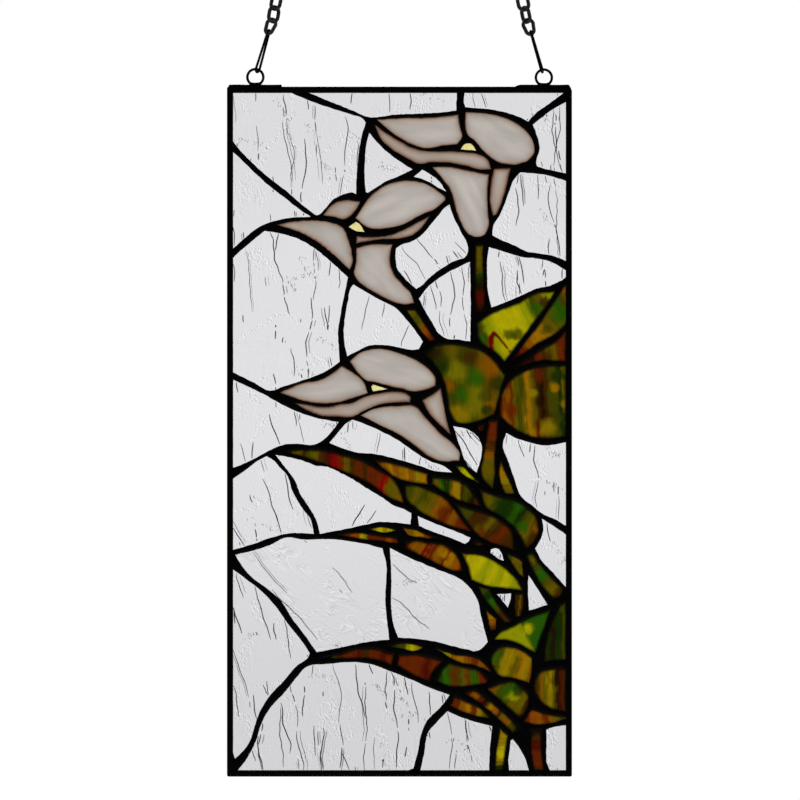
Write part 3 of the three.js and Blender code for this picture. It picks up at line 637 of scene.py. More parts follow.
class Finish(Nodes):
    """The nodes of a new material, whose patterns lie on Object coordinates in metres."""

    def __init__(self, name):
        self.material = bpy.data.materials.new(name)
        super().__init__(self.material)
        self.place = self.add("ShaderNodeTexCoord").outputs["Object"]

    def vector(self, operation, a, b):
        node = self.add("ShaderNodeVectorMath", {0: a, 1: b}, operation=operation)
        return node.outputs["Value" if operation in ("DOT_PRODUCT", "DISTANCE") else "Vector"]

    def scaled(self, x, by_x, y, by_y):
        """A place in two values, each times a factor of its own."""
        inputs = {"X": self.maths("MULTIPLY", x, by_x), "Y": self.maths("MULTIPLY", y, by_y)}
        return self.add("ShaderNodeCombineXYZ", inputs).outputs["Vector"]

    def stretched(self, degrees, factor):
        """Object coordinates drawn out along a direction in the panel's plane, in degrees from x towards
        z."""
        turn = math.radians(90 - degrees)
        inputs = {"Vector": self.place, "Rotation": (0, turn, 0), "Scale": (1, 1, factor)}
        return self.add("ShaderNodeMapping", inputs, vector_type="TEXTURE").outputs["Vector"]

    def noise(self, scale, detail=2.0, place=None):
        inputs = {"Vector": place or self.place, "Scale": scale, "Detail": detail}
        return self.add("ShaderNodeTexNoise", inputs).outputs["Fac"]

    def remap(self, value, low, high, to_low=0.0, to_high=1.0, smooth=False):
        inputs = {"Value": value, "From Min": low, "From Max": high, "To Min": to_low, "To Max": to_high}
        kind = "SMOOTHSTEP" if smooth else "LINEAR"
        return self.add("ShaderNodeMapRange", inputs, interpolation_type=kind).outputs["Result"]

    def mix(self, share, a, b, blend="MIX"):
        inputs = {0: share, 6: a, 7: b}
        return self.add("ShaderNodeMix", inputs, data_type="RGBA", blend_type=blend).outputs[2]

    def lit(self, colour, light):
        """The colour times a grey of that lightness."""
        inputs = {"Red": light, "Green": light, "Blue": light}
        return self.mix(1.0, colour, self.add("ShaderNodeCombineColor", inputs).outputs["Color"], "MULTIPLY")

    def ramp(self, value, stops, smooth=True):
        node = self.add("ShaderNodeValToRGB", {"Fac": value})
        node.color_ramp.interpolation = "EASE" if smooth else "LINEAR"
        elements = node.color_ramp.elements
        while len(elements) < len(stops):
            elements.new(0.5)
        for element, (position, _) in zip(elements, stops):
            element.position = position
        for element, (_, colour) in zip(elements, stops):
            element.color = colour
        return node.outputs["Color"]

    def attribute(self, name):
        return self.add("ShaderNodeAttribute", attribute_name=name).outputs["Fac"]

    def bump(self, height, strength, distance):
        inputs = {"Height": height, "Strength": strength, "Distance": distance}
        self.shade(Normal=self.add("ShaderNodeBump", inputs).outputs["Normal"])


def patina(name, colour, roughness, specular, grain=900.0):
    """Blackened metal: nearly black, a little uneven in colour and gloss, with a fine cast grain."""
    nodes = Finish(name)
    patches = nodes.noise(90.0, 3.0)
    fine = nodes.noise(grain, 3.0)
    dark = linear(colour)
    worn = opaque(1.6 * c for c in dark[:3])
    nodes.shade(Base_Color=nodes.mix(nodes.remap(patches, 0.35, 0.75), dark, worn), Metallic=0.0,
                Roughness=nodes.remap(fine, 0.3, 0.7, roughness - 0.08, roughness + 0.1),
                Specular_IOR_Level=specular)
    nodes.bump(nodes.maths("ADD", fine, nodes.maths("MULTIPLY", patches, 1.5)), 0.35, 0.2 * MM)
    return nodes.material


def crinkles(nodes, place):
    """The light and shade of small lumps in the glass, and the grain that they come from.

    A fine grain less the same grain half a millimetre on lights one side of each lump and shades the other.
    It shows in narrow, broken bands, where a broad noise is near its middle value, and faintly elsewhere.
    """
    fineness = 900.0
    grain = nodes.noise(fineness, 3.0, place)
    beside = nodes.noise(fineness, 3.0, nodes.vector("ADD", place, (0.5 * MM, 0, 0.2 * MM)))
    off_middle = nodes.maths("ABSOLUTE", nodes.maths("SUBTRACT", nodes.noise(19.0, 2.0), 0.5))
    bands = nodes.remap(off_middle, 0.027, 0.006, smooth=True)
    broken = nodes.remap(nodes.noise(40.0, 1.0), 0.36, 0.52, 0.12, 1.0, smooth=True)
    relief = nodes.maths("SUBTRACT", grain, beside)
    brighter = nodes.maths("MULTIPLY", nodes.maths("MAXIMUM", relief, 0.0), 0.25)
    shown = nodes.maths("ADD", nodes.maths("MULTIPLY", bands, broken), 0.05)
    return nodes.maths("MULTIPLY", nodes.maths("ADD", relief, brighter), shown), grain


def flow_lines(nodes, degrees):
    """Lines left by the glass's flow, drawn as painted light and shade: the contours of a noise drawn out
    along the folds, a painted highlight on one side of a contour and painted shade on the other, in some
    places and not in others."""
    contour = nodes.maths("MULTIPLY", nodes.noise(34.0, 3.0, nodes.stretched(degrees, 4.0)), 11.0)
    greys = ((0.36, 0.5), (0.44, 1.0), (0.5, 0.5), (0.56, 0.0), (0.64, 0.5))
    side = nodes.ramp(nodes.maths("FRACT", contour), [(stop, (grey, grey, grey, 1)) for stop, grey in greys])
    here = nodes.remap(nodes.noise(30.0, 1.0), 0.42, 0.58, smooth=True)
    return nodes.maths("MULTIPLY", nodes.maths("SUBTRACT", side, 0.5), here)


def light_by_height(nodes):
    """The clear glass's lightness by height on the panel: darkest at the foot, and a little darker at the
    top."""
    height = nodes.add("ShaderNodeSeparateXYZ", {"Vector": nodes.place}).outputs["Z"]
    foot, middle, shoulder, top = ((ORIGIN[2] + z) * MM for z in (25, 250, 370, 470))
    lower = nodes.remap(height, foot, middle, 0.93, 1.065, smooth=True)
    return nodes.maths("ADD", lower, nodes.remap(height, shoulder, top, 0.0, -0.045, smooth=True))


def clear_glass(name, colours, degrees, drawn_out, crinkle, flow):
    """Clear glass with its folds in one direction: see-through, a little grey, with the painted light and
    shade of crinkles and flow lines of the given strengths. The ribs are darkened by their painted fold
    shade, in place of the dark line that refraction makes along a fold."""
    nodes = Finish(name)
    lumps, grain = crinkles(nodes, nodes.stretched(degrees, drawn_out))
    # Painted light and shade of the crinkles, added to the glass's lightness.
    light = nodes.maths("ADD", light_by_height(nodes), nodes.maths("MULTIPLY", lumps, crinkle))
    # Painted light and shade of the flow lines.
    light = nodes.maths("ADD", light, nodes.maths("MULTIPLY", flow_lines(nodes, degrees), flow))
    base = nodes.lit(opaque(colours.clear), light)
    # Painted shade: each rib darkens towards this grey by its value, in place of the dark line that
    # refraction makes along a fold.
    nodes.shade(Base_Color=nodes.mix(nodes.attribute("painted_fold_shade"), base, linear((24, 24, 28))), Roughness=0.04,
                Transmission_Weight=1.0, IOR=1.45, Specular_IOR_Level=0.3)
    nodes.bump(grain, 0.05, 0.3 * MM)
    return nodes.material


# The milky glass inwards from its brown rim: colours at shares of the width over which it fades.
PETAL_FADE = (
    (0.09, (163, 138, 121)),
    (0.15, (176, 158, 142)),
    (0.22, (182, 167, 156)),
    (0.32, (185, 176, 168)),
    (0.45, (191, 184, 177)),
    (0.65, (196, 189, 182)),
)


def petal_glass(name, colours, degrees, fade):
    """Milky glass: grey-white with faint wisps along the petal, and a brown rim that fades inwards."""
    nodes = Finish(name)
    wisps = nodes.noise(170.0, 3.0, nodes.stretched(degrees, 5.0))
    uneven = nodes.remap(nodes.noise(30.0, 2.0), 0.25, 0.75, -0.5, 0.7)
    inward = nodes.remap(nodes.maths("ADD", nodes.attribute("edge"), uneven), 0.0, fade)
    stops = [(0.0, opaque(colours.petal_rim))] + [(share, linear(colour)) for share, colour in PETAL_FADE]
    body = nodes.ramp(inward, stops + [(1.0, opaque(colours.petal))], smooth=False)
    nodes.shade(Base_Color=nodes.lit(body, nodes.remap(wisps, 0.3, 0.7, 0.85, 1.12)), Roughness=0.3,
                Transmission_Weight=0.85, IOR=1.45, Specular_IOR_Level=0.3)
    nodes.bump(wisps, 0.15, 0.3 * MM)
    return nodes.material


def spadix_glass(colours):
    """Pale yellow glass with a few darker grains."""
    nodes = Finish("spadix_glass")
    grains = nodes.remap(nodes.noise(520.0, 2.0), 0.55, 0.7)
    base = nodes.mix(nodes.noise(160.0), opaque(colours.spadix), linear((236, 222, 136)))
    nodes.shade(Base_Color=nodes.mix(grains, base, linear((196, 176, 92))), Roughness=0.3,
                Transmission_Weight=0.9, IOR=1.45)
    return nodes.material


def streaky_glass(name, loop):
    """Streaky leaf glass: colours that follow one another in one direction, drawn out in fine lines across
    it.

    The place along the direction, shifted by a soft noise and a combed one, picks the colour; a noise
    stretched across the direction lightens and darkens it; blobs lie over it; and a painted shade darkens it
    towards the solder.
    """
    angle, words = STREAKS[name]
    words = words.split()
    nodes = Finish("glass_" + name)
    direction = np.array([math.cos(math.radians(angle)), math.sin(math.radians(angle))])
    low, high = ((loop @ direction).min() * MM, (loop @ direction).max() * MM)
    flat = nodes.vector("MULTIPLY", nodes.place, (1, 0, 1))
    panel = nodes.vector("SUBTRACT", flat, tuple(ORIGIN * MM))
    along = nodes.vector("DOT_PRODUCT", panel, (direction[0], 0, direction[1]))
    across = nodes.vector("DOT_PRODUCT", panel, (-direction[1], 0, direction[0]))

    drift = nodes.remap(nodes.noise(95.0, 4.0, flat), 0.2, 0.8, -3.2 * MM, 3.2 * MM)
    fingers = nodes.noise(1.0, 2.0, nodes.scaled(along, 420.0, across, 28.0))
    comb = nodes.remap(fingers, 0.2, 0.8, -2.0 * MM, 2.0 * MM)
    place = nodes.remap(nodes.maths("ADD", nodes.maths("ADD", along, drift), comb), low, high)
    stops = (np.arange(len(words)) + 0.5) / len(words)
    colour = nodes.ramp(place, [(stop, linear(PALETTE[word])) for stop, word in zip(stops, words)])
    ragged = nodes.maths("ADD", drift, nodes.maths("MULTIPLY", comb, 0.4))
    for x, z, radius, word in BLOBS.get(name, ()):
        gap = nodes.maths("ADD", nodes.vector("DISTANCE", panel, (x * MM, 0, z * MM)), ragged)
        share = nodes.remap(gap, 1.45 * radius * MM, 0.35 * radius * MM, to_high=0.85, smooth=True)
        colour = nodes.mix(share, colour, linear(PALETTE[word]))
    if name in RED_VEINS:
        colour = nodes.mix(nodes.attribute("vein"), colour, linear((96, 6, 2)))

    streak = nodes.noise(1.0, 3.0, nodes.scaled(along, 900.0, across, 42.0))
    dull, bright = (0.86, 1.02) if "lime" in name else (0.76, 1.12)
    mottling = nodes.remap(nodes.noise(120.0, 3.0, flat), 0.3, 0.7, 0.88, 1.1)
    light = nodes.maths("MULTIPLY", nodes.remap(streak, 0.28, 0.72, dull, bright), mottling)
    uneven = nodes.remap(nodes.noise(70.0), 0.3, 0.7, -0.4, 0.4)
    # Painted shade: the glass darkens towards the solder over this width, wider in a larger pane.
    solder_shade_width = min(2.2, 0.13 * math.sqrt(signed_area(loop)))
    inward = nodes.maths("ADD", nodes.attribute("edge"), uneven)
    light = nodes.maths("MULTIPLY", light, nodes.remap(inward, -0.3, solder_shade_width, 0.12, 1.0, smooth=True))
    nodes.shade(Base_Color=nodes.lit(colour, light), Roughness=0.22, Transmission_Weight=1.0, IOR=1.45,
                Specular_IOR_Level=0.2)
    nodes.bump(streak, 0.12, 0.3 * MM)
    return nodes.material


# ---- Settings ----

def length(name, description, millimetres):
    """A setting that is a length: kept in metres, as Blender does, and given here in millimetres."""
    return FloatProperty(name=name, description=description, default=millimetres * MM, min=0, unit="LENGTH",
                         precision=5)


def tint(name, description, colour):
    """A setting that is a colour, in linear light."""
    return FloatVectorProperty(name=name, description=description, default=colour, min=0, max=1,
                               subtype="COLOR")


def in_millimetres(settings):
    """A group's settings as plain values, with its lengths in millimetres."""
    values = {name: getattr(settings, name) for name in type(settings).__annotations__}
    kinds = settings.bl_rna.properties
    return SimpleNamespace(**{name: round(value / MM, 3) if kinds[name].unit == "LENGTH" else value
                              for name, value in values.items()})


class GlassColours(bpy.types.PropertyGroup):
    """Colours of the glass"""
    clear: tint("Clear", "Tint of the background glass", (0.723, 0.723, 0.745))
    petal: tint("Petal", "Milky glass of the lilies", linear((199, 192, 185))[:3])
    petal_rim: tint("Petal rim", "Where a petal meets the solder", linear((90, 58, 40))[:3])
    spadix: tint("Spadix", "Pale yellow glass", linear((252, 246, 178))[:3])


class PanelSizes(bpy.types.PropertyGroup):
    """Sizes of the glass, the solder and the frame"""
    glass_half: length("Half the glass", "Half the glass's thickness", 1.5)
    glass_tuck: length("Tuck", "How far a pane's edge lies under the solder", 0.5)
    bead_rise: length("Bead rise", "Height of a solder line over the glass", 0.72)
    bead_round: length("Bead round", "Width of a solder line's rounded edge", 1.7)
    solder_cell: length("Solder cell", "Grid of the solder's surface", 1.3)
    fold_spacing: length("Fold spacing", "Between the folds of clear glass", 8.0)
    clear_cell: length("Clear cell", "Grid of a clear pane's surface", 2.2)
    petal_cell: length("Petal cell", "Grid of a petal's surface", 1.8)
    leaf_cell: length("Leaf cell", "Grid of a leaf or spadix pane's surface", 1.6)
    vein_cell: length("Vein cell", "Grid of a leaf pane with veins", 0.8)
    frame_face: length("Frame face", "Width of the channel's lip", 4.4)
    frame_wall: length("Frame wall", "Thickness of the channel", 0.8)
    frame_corner: length("Frame corner", "Radius of the outer corners", 1.4)
    soft_corner: length("Soft corner", "Radius of the upper right corner", 3.6)


class HangerSizes(bpy.types.PropertyGroup):
    """Sizes of the rings, wires and chains"""
    ring_radius: length("Ring radius", "To the middle of a soldered ring's wire", 5.88)
    ring_wire: length("Ring wire", "Thickness of a ring's wire", 1.95)
    loop_wire: length("Loop wire", "Thickness of a long link's wire", 1.85)
    loop_foot: length("Loop foot", "Width of a long link at its lower end", 5.6)
    loop_head: length("Loop head", "Width of a long link at its upper end", 2.7)
    chain_wire: length("Chain wire", "Thickness of a chain link's wire", 2.8)
    chain_length: length("Link length", "Outer length of a chain link", 13.4)
    chain_width: length("Link width", "Outer width of a chain link", 10.4)
    links: IntProperty(name="Links", description="Links in each chain", default=4, min=1, max=4)


class StageSizes(bpy.types.PropertyGroup):
    """The camera and the light"""
    view_width: length("View width", "Width of the view at the panel", 589.5)
    distance: length("Distance", "From the camera to the panel", 3400.0)
    floor_radius: length("Floor radius", "Radius of the floor", 1600.0)
    floor_drop: length("Floor drop", "From the panel's foot down to the floor", 550.0)
    light: FloatProperty(name="Light", description="Strength of each soft lamp", default=8.0, unit="POWER")
    soft_light: FloatProperty(name="Soft light", description="What matt surfaces see", default=0.75)
    surroundings: FloatProperty(name="Surroundings", description="What glossy surfaces see", default=0.012)


SETTINGS = {
    "lily_colours": GlassColours,
    "lily_panel": PanelSizes,
    "lily_hanger": HangerSizes,
    "lily_stage": StageSizes,
}

# How each side hangs: the lean of the long link and of the chain, how far the long link leans beyond its
# solid, how much longer it is, the turns of the link and of the chain's links in turn, how far the chain's
# foot is raised, and the lean of each of its links, from the lowest up. Then over what lengths its corner
# plate rises at the two ends.
HANGING = {
    "left": {"wire_lean": 17.0, "chain_lean": 11.0, "further": -0.8, "longer": 1.9, "wire_turn": 64.0,
             "turns": (-30.0, 30.0), "raised": 1.1, "leans": (21.5, 9.5, 11.0, -1.0),
             "plate_ends": (1.2, 0.7)},
    "right": {"wire_lean": -14.5, "chain_lean": -14.9, "further": -1.6, "longer": 1.5, "wire_turn": 98.0,
              "turns": (10.0, -50.0), "raised": 0.7, "leans": (-17.0, -12.5, -12.0, 0.0),
              "plate_ends": (5.0, 1.6)},
}


# ---- Glass ----

def pane_slots():
    """The record's material slot of each pane: its solid's, or one that fits its name."""
    slots = {row["node"]: row["material_slot"] for row in frame["record"]["subparts"]}
    families = {"glass_lime": "lime yellow mustard", "glass_amber": "honey amber",
                "glass_olive": "olive moss reed", "glass_green": "green forest", "glass_rust": "rust orange",
                "glass_ruby": "scarlet wine", "glass_umber": "umber bark"}
    slot_of = {word: slot for slot, words in families.items() for word in words.split()}
    result = {}
    for name in OPENINGS:
        if "glass_" + name in slots:
            result[name] = slots["glass_" + name]
        elif name.startswith("clear"):
            result[name] = "glass_clear"
        elif name.endswith("spadix"):
            result[name] = "glass_spadix"
        elif name in STREAKS:
            words = STREAKS[name][1].split()
            result[name] = slot_of[words[len(words) // 2]]
        else:
            result[name] = "glass_petal"
    return result


# Rows of points that follow a pane's edge: their depths, and the depth past which every second point is
# left out.
ROWS = (0.7, 1.6, 2.8)
THINNED = 2.0
# The grid keeps this far from the edge.
GRID_MARGIN = 3.6


def pane_grid(loop, sizes, cell):
    """A pane's points: its outline tucked under the solder, rows that follow its edge, and a grid inside
    them."""
    normals = outward(loop)
    rim = loop + sizes.glass_tuck * normals
    others = [loop]
    for depth in ROWS:
        row = loop - depth * normals
        keep = (edge_distance(row, [loop]) > 0.92 * depth) & inside(row, loop)
        others.append(row[keep][::2 if depth > THINNED else 1])
    grid = hexagon_grid(loop.min(axis=0), loop.max(axis=0), cell)
    grid = grid[inside(grid, loop)]
    others.append(grid[edge_distance(grid, [loop]) > GRID_MARGIN] if len(grid) else grid)
    points, triples = triangulated([rim], others)
    triples = triples[inside(points[triples].mean(axis=1), rim)]
    return points, triples, np.where(inside(points, loop), edge_distance(points, [loop]), 0.0)


def add_pane(name, material, slot, sizes, cell, relief, folds=None, **values):
    """One pane: a plate whose front wavers by the relief and its back by a little swell, with any folds
    joined to it. It stands for its solid if it has one, and knows each point's distance to the solder and
    its painted fold shade."""
    points, triples, depth = pane_grid(OPENINGS[name], sizes, cell)
    x, z = points.T
    front = sizes.glass_half + relief(x, z)
    back = sizes.glass_half + 0.03 * waves(x, z, 5, count=5, shortest=9, longest=30)
    vertices, faces = slab(points, triples, front, back)
    values = {key: np.tile(value(x, z), 2) for key, value in values.items()}
    values["edge"] = np.tile(depth, 2)
    values["painted_fold_shade"] = np.zeros(len(vertices))
    if folds is not None:
        marks, painted_fold_shade = folds
        vertices, faces = joined([(vertices, faces), marks])
        values = {key: np.concatenate([value, painted_fold_shade if key == "painted_fold_shade" else np.zeros(len(painted_fold_shade))])
                  for key, value in values.items()}
    node = "glass_" + name
    return add_piece("pane_" + name, vertices, faces, material, slot,
                     (node,) if node in frame["nodes"] else (), **values)


def fold_relief(seed, angle):
    """The waviness of clear glass: long ripples that run along the folds, and a little random swell."""
    def relief(x, z):
        ripples = waves(x, z, seed, count=5, shortest=5, longest=11, angle=angle + math.pi / 2, spread=0.25)
        return 0.035 * ripples + 0.03 * waves(x, z, seed + 1, count=4, shortest=14, longest=30)
    return relief


def line_points(lines, which, s, offset):
    """Points on kinked lines: origin + s·heading + (offset + sum of swing·kink(2π·s/wave + phase))·sideways.

    kink is a wave of nearly straight runs: the arcsine of 0.97 of a sine, over its largest value.
    """
    swing, wave, phase = (lines[key][which][:, None, :] for key in ("swing", "wave", "phase"))
    kink = np.arcsin(0.97 * np.sin(2 * math.pi * s[:, :, None] / wave + phase)) / math.asin(0.97)
    sway = (swing * kink).sum(axis=2) + offset[:, None]
    heading = lines["heading"][which][:, None, :]
    sideways = np.stack([-heading[:, :, 1], heading[:, :, 0]], axis=2)
    return lines["origin"][which][:, None, :] + s[:, :, None] * heading + sway[:, :, None] * sideways


def fold_lines(random, low, high, angle, spacing):
    """Lines across a rectangle, about a spacing apart, each with its own lean and a long, a middle and a
    short sway."""
    heading = np.array([math.cos(angle), math.sin(angle)])
    sideways = np.array([-heading[1], heading[0]])
    corners = np.array([(x, z) for x in (low[0], high[0]) for z in (low[1], high[1])])
    across, along = corners @ sideways, corners @ heading
    place = np.arange(across.min(), across.max(), spacing)
    count = len(place)
    place = place + random.uniform(-0.48, 0.48, count) * spacing
    lean = angle + random.normal(0, 0.04, count)
    own = random.uniform(size=(3, count, 3))
    lines = {
        "origin": place[:, None] * sideways + along.min() * heading,
        "heading": np.stack([np.cos(lean), np.sin(lean)], axis=1),
        "swing": (1.0, 0.5, 0.08) + (2.5, 0.9, 0.2) * own[0],
        "wave": (80, 26, 8) + (90, 30, 9) * own[1],
        "phase": 2 * math.pi * own[2],
    }
    return lines, along.max() - along.min()


def fold_dashes(random, lines, length):
    """The dashes of every line: long ones and short ones with gaps between them, and paler twins beside
    some."""
    shape = (len(lines["origin"]), int(length / 12) + 4)
    dash = np.where(random.random(shape) < 0.55, random.uniform(10, 52, shape), random.uniform(1.5, 8, shape))
    gap = np.where(random.random(shape) < 0.5, random.uniform(0.6, 3, shape), random.uniform(16, 84, shape))
    end = np.cumsum(dash + gap, axis=1) - random.uniform(0, 60, (shape[0], 1))
    which = np.repeat(np.arange(shape[0]), shape[1])
    dashes = {
        "which": which,
        "start": (end - gap - dash).ravel(),
        "end": (end - gap).ravel(),
        "offset": random.normal(0, 0.45, which.shape),
        "wide": random.uniform(0.27, 0.47, which.shape),
        # Painted shade: how dark each dash's rib is drawn.
        "painted_fold_shade": (random.uniform(0.8, 1, shape) * random.uniform(0.8, 1, (shape[0], 1))).ravel(),
    }
    chosen = random.random(len(which)) < 0.28
    twin = {key: value[chosen].copy() for key, value in dashes.items()}
    twin["offset"] += random.choice([-1, 1], chosen.sum()) * random.uniform(1.1, 2.8, chosen.sum())
    twin["start"] += random.uniform(0, 3, chosen.sum())
    twin["end"] -= random.uniform(0, 3, chosen.sum())
    twin["wide"] *= 0.8
    # A twin's painted shade is paler.
    twin["painted_fold_shade"] *= random.uniform(0.15, 0.45, chosen.sum())
    return {key: np.concatenate([dashes[key], twin[key]]) for key in dashes}


def fold_flecks(random, low, high, angle, number):
    """Small curls in ropes: each rope starts anywhere and runs a few centimetres, with its curls scattered
    along it."""
    ropes = max(1, int(number))
    each = 16
    start = random.uniform(low, high, (ropes, 2))
    slant = angle + random.normal(0.9, 0.5, ropes)
    length = random.uniform(8, 30, ropes)
    share = random.uniform(size=(ropes, each))
    bend = random.uniform(-0.25, 0.25, ropes)[:, None] * length[:, None] * (share - 0.5) ** 2 * 4
    run = np.stack([np.cos(slant), np.sin(slant)], axis=1)[:, None, :]
    side = np.stack([-run[:, :, 1], run[:, :, 0]], axis=2)
    origin = start[:, None] + (share * length[:, None])[:, :, None] * run + bend[:, :, None] * side
    origin = (origin + random.normal(0, 1.1, origin.shape)).reshape(-1, 2)
    count = len(origin)
    lean = angle + random.normal(0, 0.4, count)
    size = random.uniform(0.7, 2.3, count)
    lines = {
        "origin": origin,
        "heading": np.stack([np.cos(lean), np.sin(lean)], axis=1),
        "swing": random.uniform(0.1, 0.45, (count, 1)),
        "wave": (size * random.uniform(1.2, 2.2, count))[:, None],
        "phase": random.uniform(0, 2 * math.pi, (count, 1)),
    }
    curls = {
        "which": np.arange(count),
        "start": np.zeros(count),
        "end": size,
        "offset": np.zeros(count),
        "wide": random.uniform(0.14, 0.24, count),
        # Painted shade: how dark each curl is drawn.
        "painted_fold_shade": random.uniform(0.2, 0.85, count),
    }
    return lines, curls


def cut_to_pane(lines, dashes, loop):
    """The dashes shortened to their first stretch inside the loop, without those that are outside it."""
    t = np.linspace(0, 1, 24)
    s = dashes["start"][:, None] + (dashes["end"] - dashes["start"])[:, None] * t
    points = line_points(lines, dashes["which"], s, dashes["offset"])
    held = inside(points.reshape(-1, 2), loop).reshape(s.shape)
    first = np.argmax(held, axis=1)
    out = ~held & (np.arange(len(t)) > first[:, None])
    last = np.where(out.any(axis=1), np.argmax(out, axis=1), len(t)) - 1
    rows = np.arange(len(s))
    cut = dict(dashes, start=s[rows, first], end=s[rows, last])
    keep = held.any(axis=1) & (cut["end"] - cut["start"] > 0.5)
    return {key: value[keep] for key, value in cut.items()}


def ribs(lines, dashes, samples, glass_half, relief):
    """A thin closed rib for each dash: a rhombus section along its line, half sunk in the surface.

    Its half width and its rise are the fourth root of the sine of the way along it, so that it ends in
    points.
    """
    t = np.linspace(0, 1, samples)
    s = dashes["start"][:, None] + (dashes["end"] - dashes["start"])[:, None] * t
    path = line_points(lines, dashes["which"], s, dashes["offset"])
    along = np.gradient(path, axis=1)
    along /= np.linalg.norm(along, axis=2)[:, :, None]
    taper = np.sin(math.pi * np.clip(t, 0.004, 0.996)) ** 0.25
    side = np.stack([-along[:, :, 1], along[:, :, 0]], axis=2) * (dashes["wide"][:, None] * taper)[:, :, None]
    depth = -glass_half - relief(path[:, :, 0], path[:, :, 1])
    rise = RIB_RISE * taper[None, :]
    corners = [(path + side, depth), (path, depth - rise), (path - side, depth), (path, depth + rise)]
    ring = np.stack([np.stack([at[:, :, 0], y, at[:, :, 1]], axis=2) for at, y in corners], axis=2)
    size = samples * 4
    body = grid_triples(samples, 4, wrap_rows=False)
    end = size - 4
    one = np.concatenate([body, [(0, 1, 2), (0, 2, 3), (end, end + 2, end + 1), (end, end + 3, end + 2)]])
    one = facing_out(ring[0].reshape(-1, 3), one)
    triples = (one[None] + (np.arange(len(path)) * size)[:, None, None]).reshape(-1, 3)
    return (ring.reshape(-1, 3), triples), np.repeat(dashes["painted_fold_shade"], size)


# A rib's height over the glass, and how many points it has along it: for each range of lengths.
RIB_RISE = 0.15
RIB_POINTS = ((0, 3, 6), (3, 12, 12), (12, 1000, 30))


def pane_folds(fields, name, glass_half, relief):
    """All ribs of a pane, from fields of lines and dashes: more points along the longer ones."""
    parts, painted_fold_shades = [], []
    for lines, dashes in fields:
        cut = cut_to_pane(lines, dashes, OPENINGS[name])
        length = cut["end"] - cut["start"]
        for shortest, longest, samples in RIB_POINTS:
            chosen = (length > shortest) & (length <= longest)
            if chosen.any():
                some = {key: value[chosen] for key, value in cut.items()}
                part, painted_fold_shade = ribs(lines, some, samples, glass_half, relief)
                parts.append(part)
                painted_fold_shades.append(painted_fold_shade)
    return (joined(parts), np.concatenate(painted_fold_shades)) if parts else None


# ---- Operators ----

def held_by(points, loops):
    """Which points lie in any of the loops."""
    return np.logical_or.reduce([inside(points, loop) for loop in loops])


class LILY_OT_solder_lines(bpy.types.Operator):
    """Build the rounded solder lines on both sides of the glass"""
    bl_idname = "lily.solder_lines"
    bl_label = "Solder lines"
    bl_options = {"REGISTER", "UNDO"}

    # The row of points along each opening, and how near the openings and the sheet's edge other points may
    # come.
    row_depth = 0.45
    row_gap = 0.4
    grid_gap = 0.95
    edge_gap = 0.3
    # A solder line's greatest heap, the width over which it rises, and the depth of its foot in the glass.
    heap = 0.1
    heap_width = 1.5
    foot = 0.05

    def execute(self, context):
        """The sheet between the openings. Its height over the glass is a quarter circle of the distance to
        the nearest pane, with a little swell, and a slight heap where several lines meet."""
        sizes = in_millimetres(context.scene.lily_panel)
        loops = list(OPENINGS.values())
        low, high = SHEET_EDGE.min(axis=0), SHEET_EDGE.max(axis=0)
        grid = hexagon_grid(low + 0.5, high - 0.5, sizes.solder_cell)
        grid = grid[~held_by(grid, loops)]
        grid = grid[edge_distance(grid, loops) > self.grid_gap]
        row = np.concatenate([loop + self.row_depth * outward(loop) for loop in loops])
        row = row[edge_distance(row, loops) > self.row_gap]
        row = row[np.all((row > low + self.edge_gap) & (row < high - self.edge_gap), axis=1)]
        points, triples = triangulated([SHEET_EDGE] + loops, [row, grid])
        triples = triples[~held_by(points[triples].mean(axis=1), loops)]
        distance = edge_distance(points, loops)
        x, z = points.T
        share = np.clip(distance / sizes.bead_round, 0, 1)
        swell = 1 + 0.1 * waves(x, z, 3, count=9, shortest=4, longest=16)
        heap = self.heap * np.clip((distance - sizes.bead_round) / self.heap_width, 0, 1)
        rise = sizes.bead_rise * np.sqrt(1 - (1 - share) ** 2) * swell + heap
        height = np.minimum(sizes.glass_half - self.foot + rise, FRAME_HALF - sizes.frame_wall - self.foot)
        vertices, faces = slab(points, triples, height, height * 0.985)
        metal = patina("black_solder", (2, 2, 2), roughness=0.42, specular=0.06)
        add_piece("solder_lines", vertices, faces, metal, "black_patina", ("leading",))
        return {"FINISHED"}


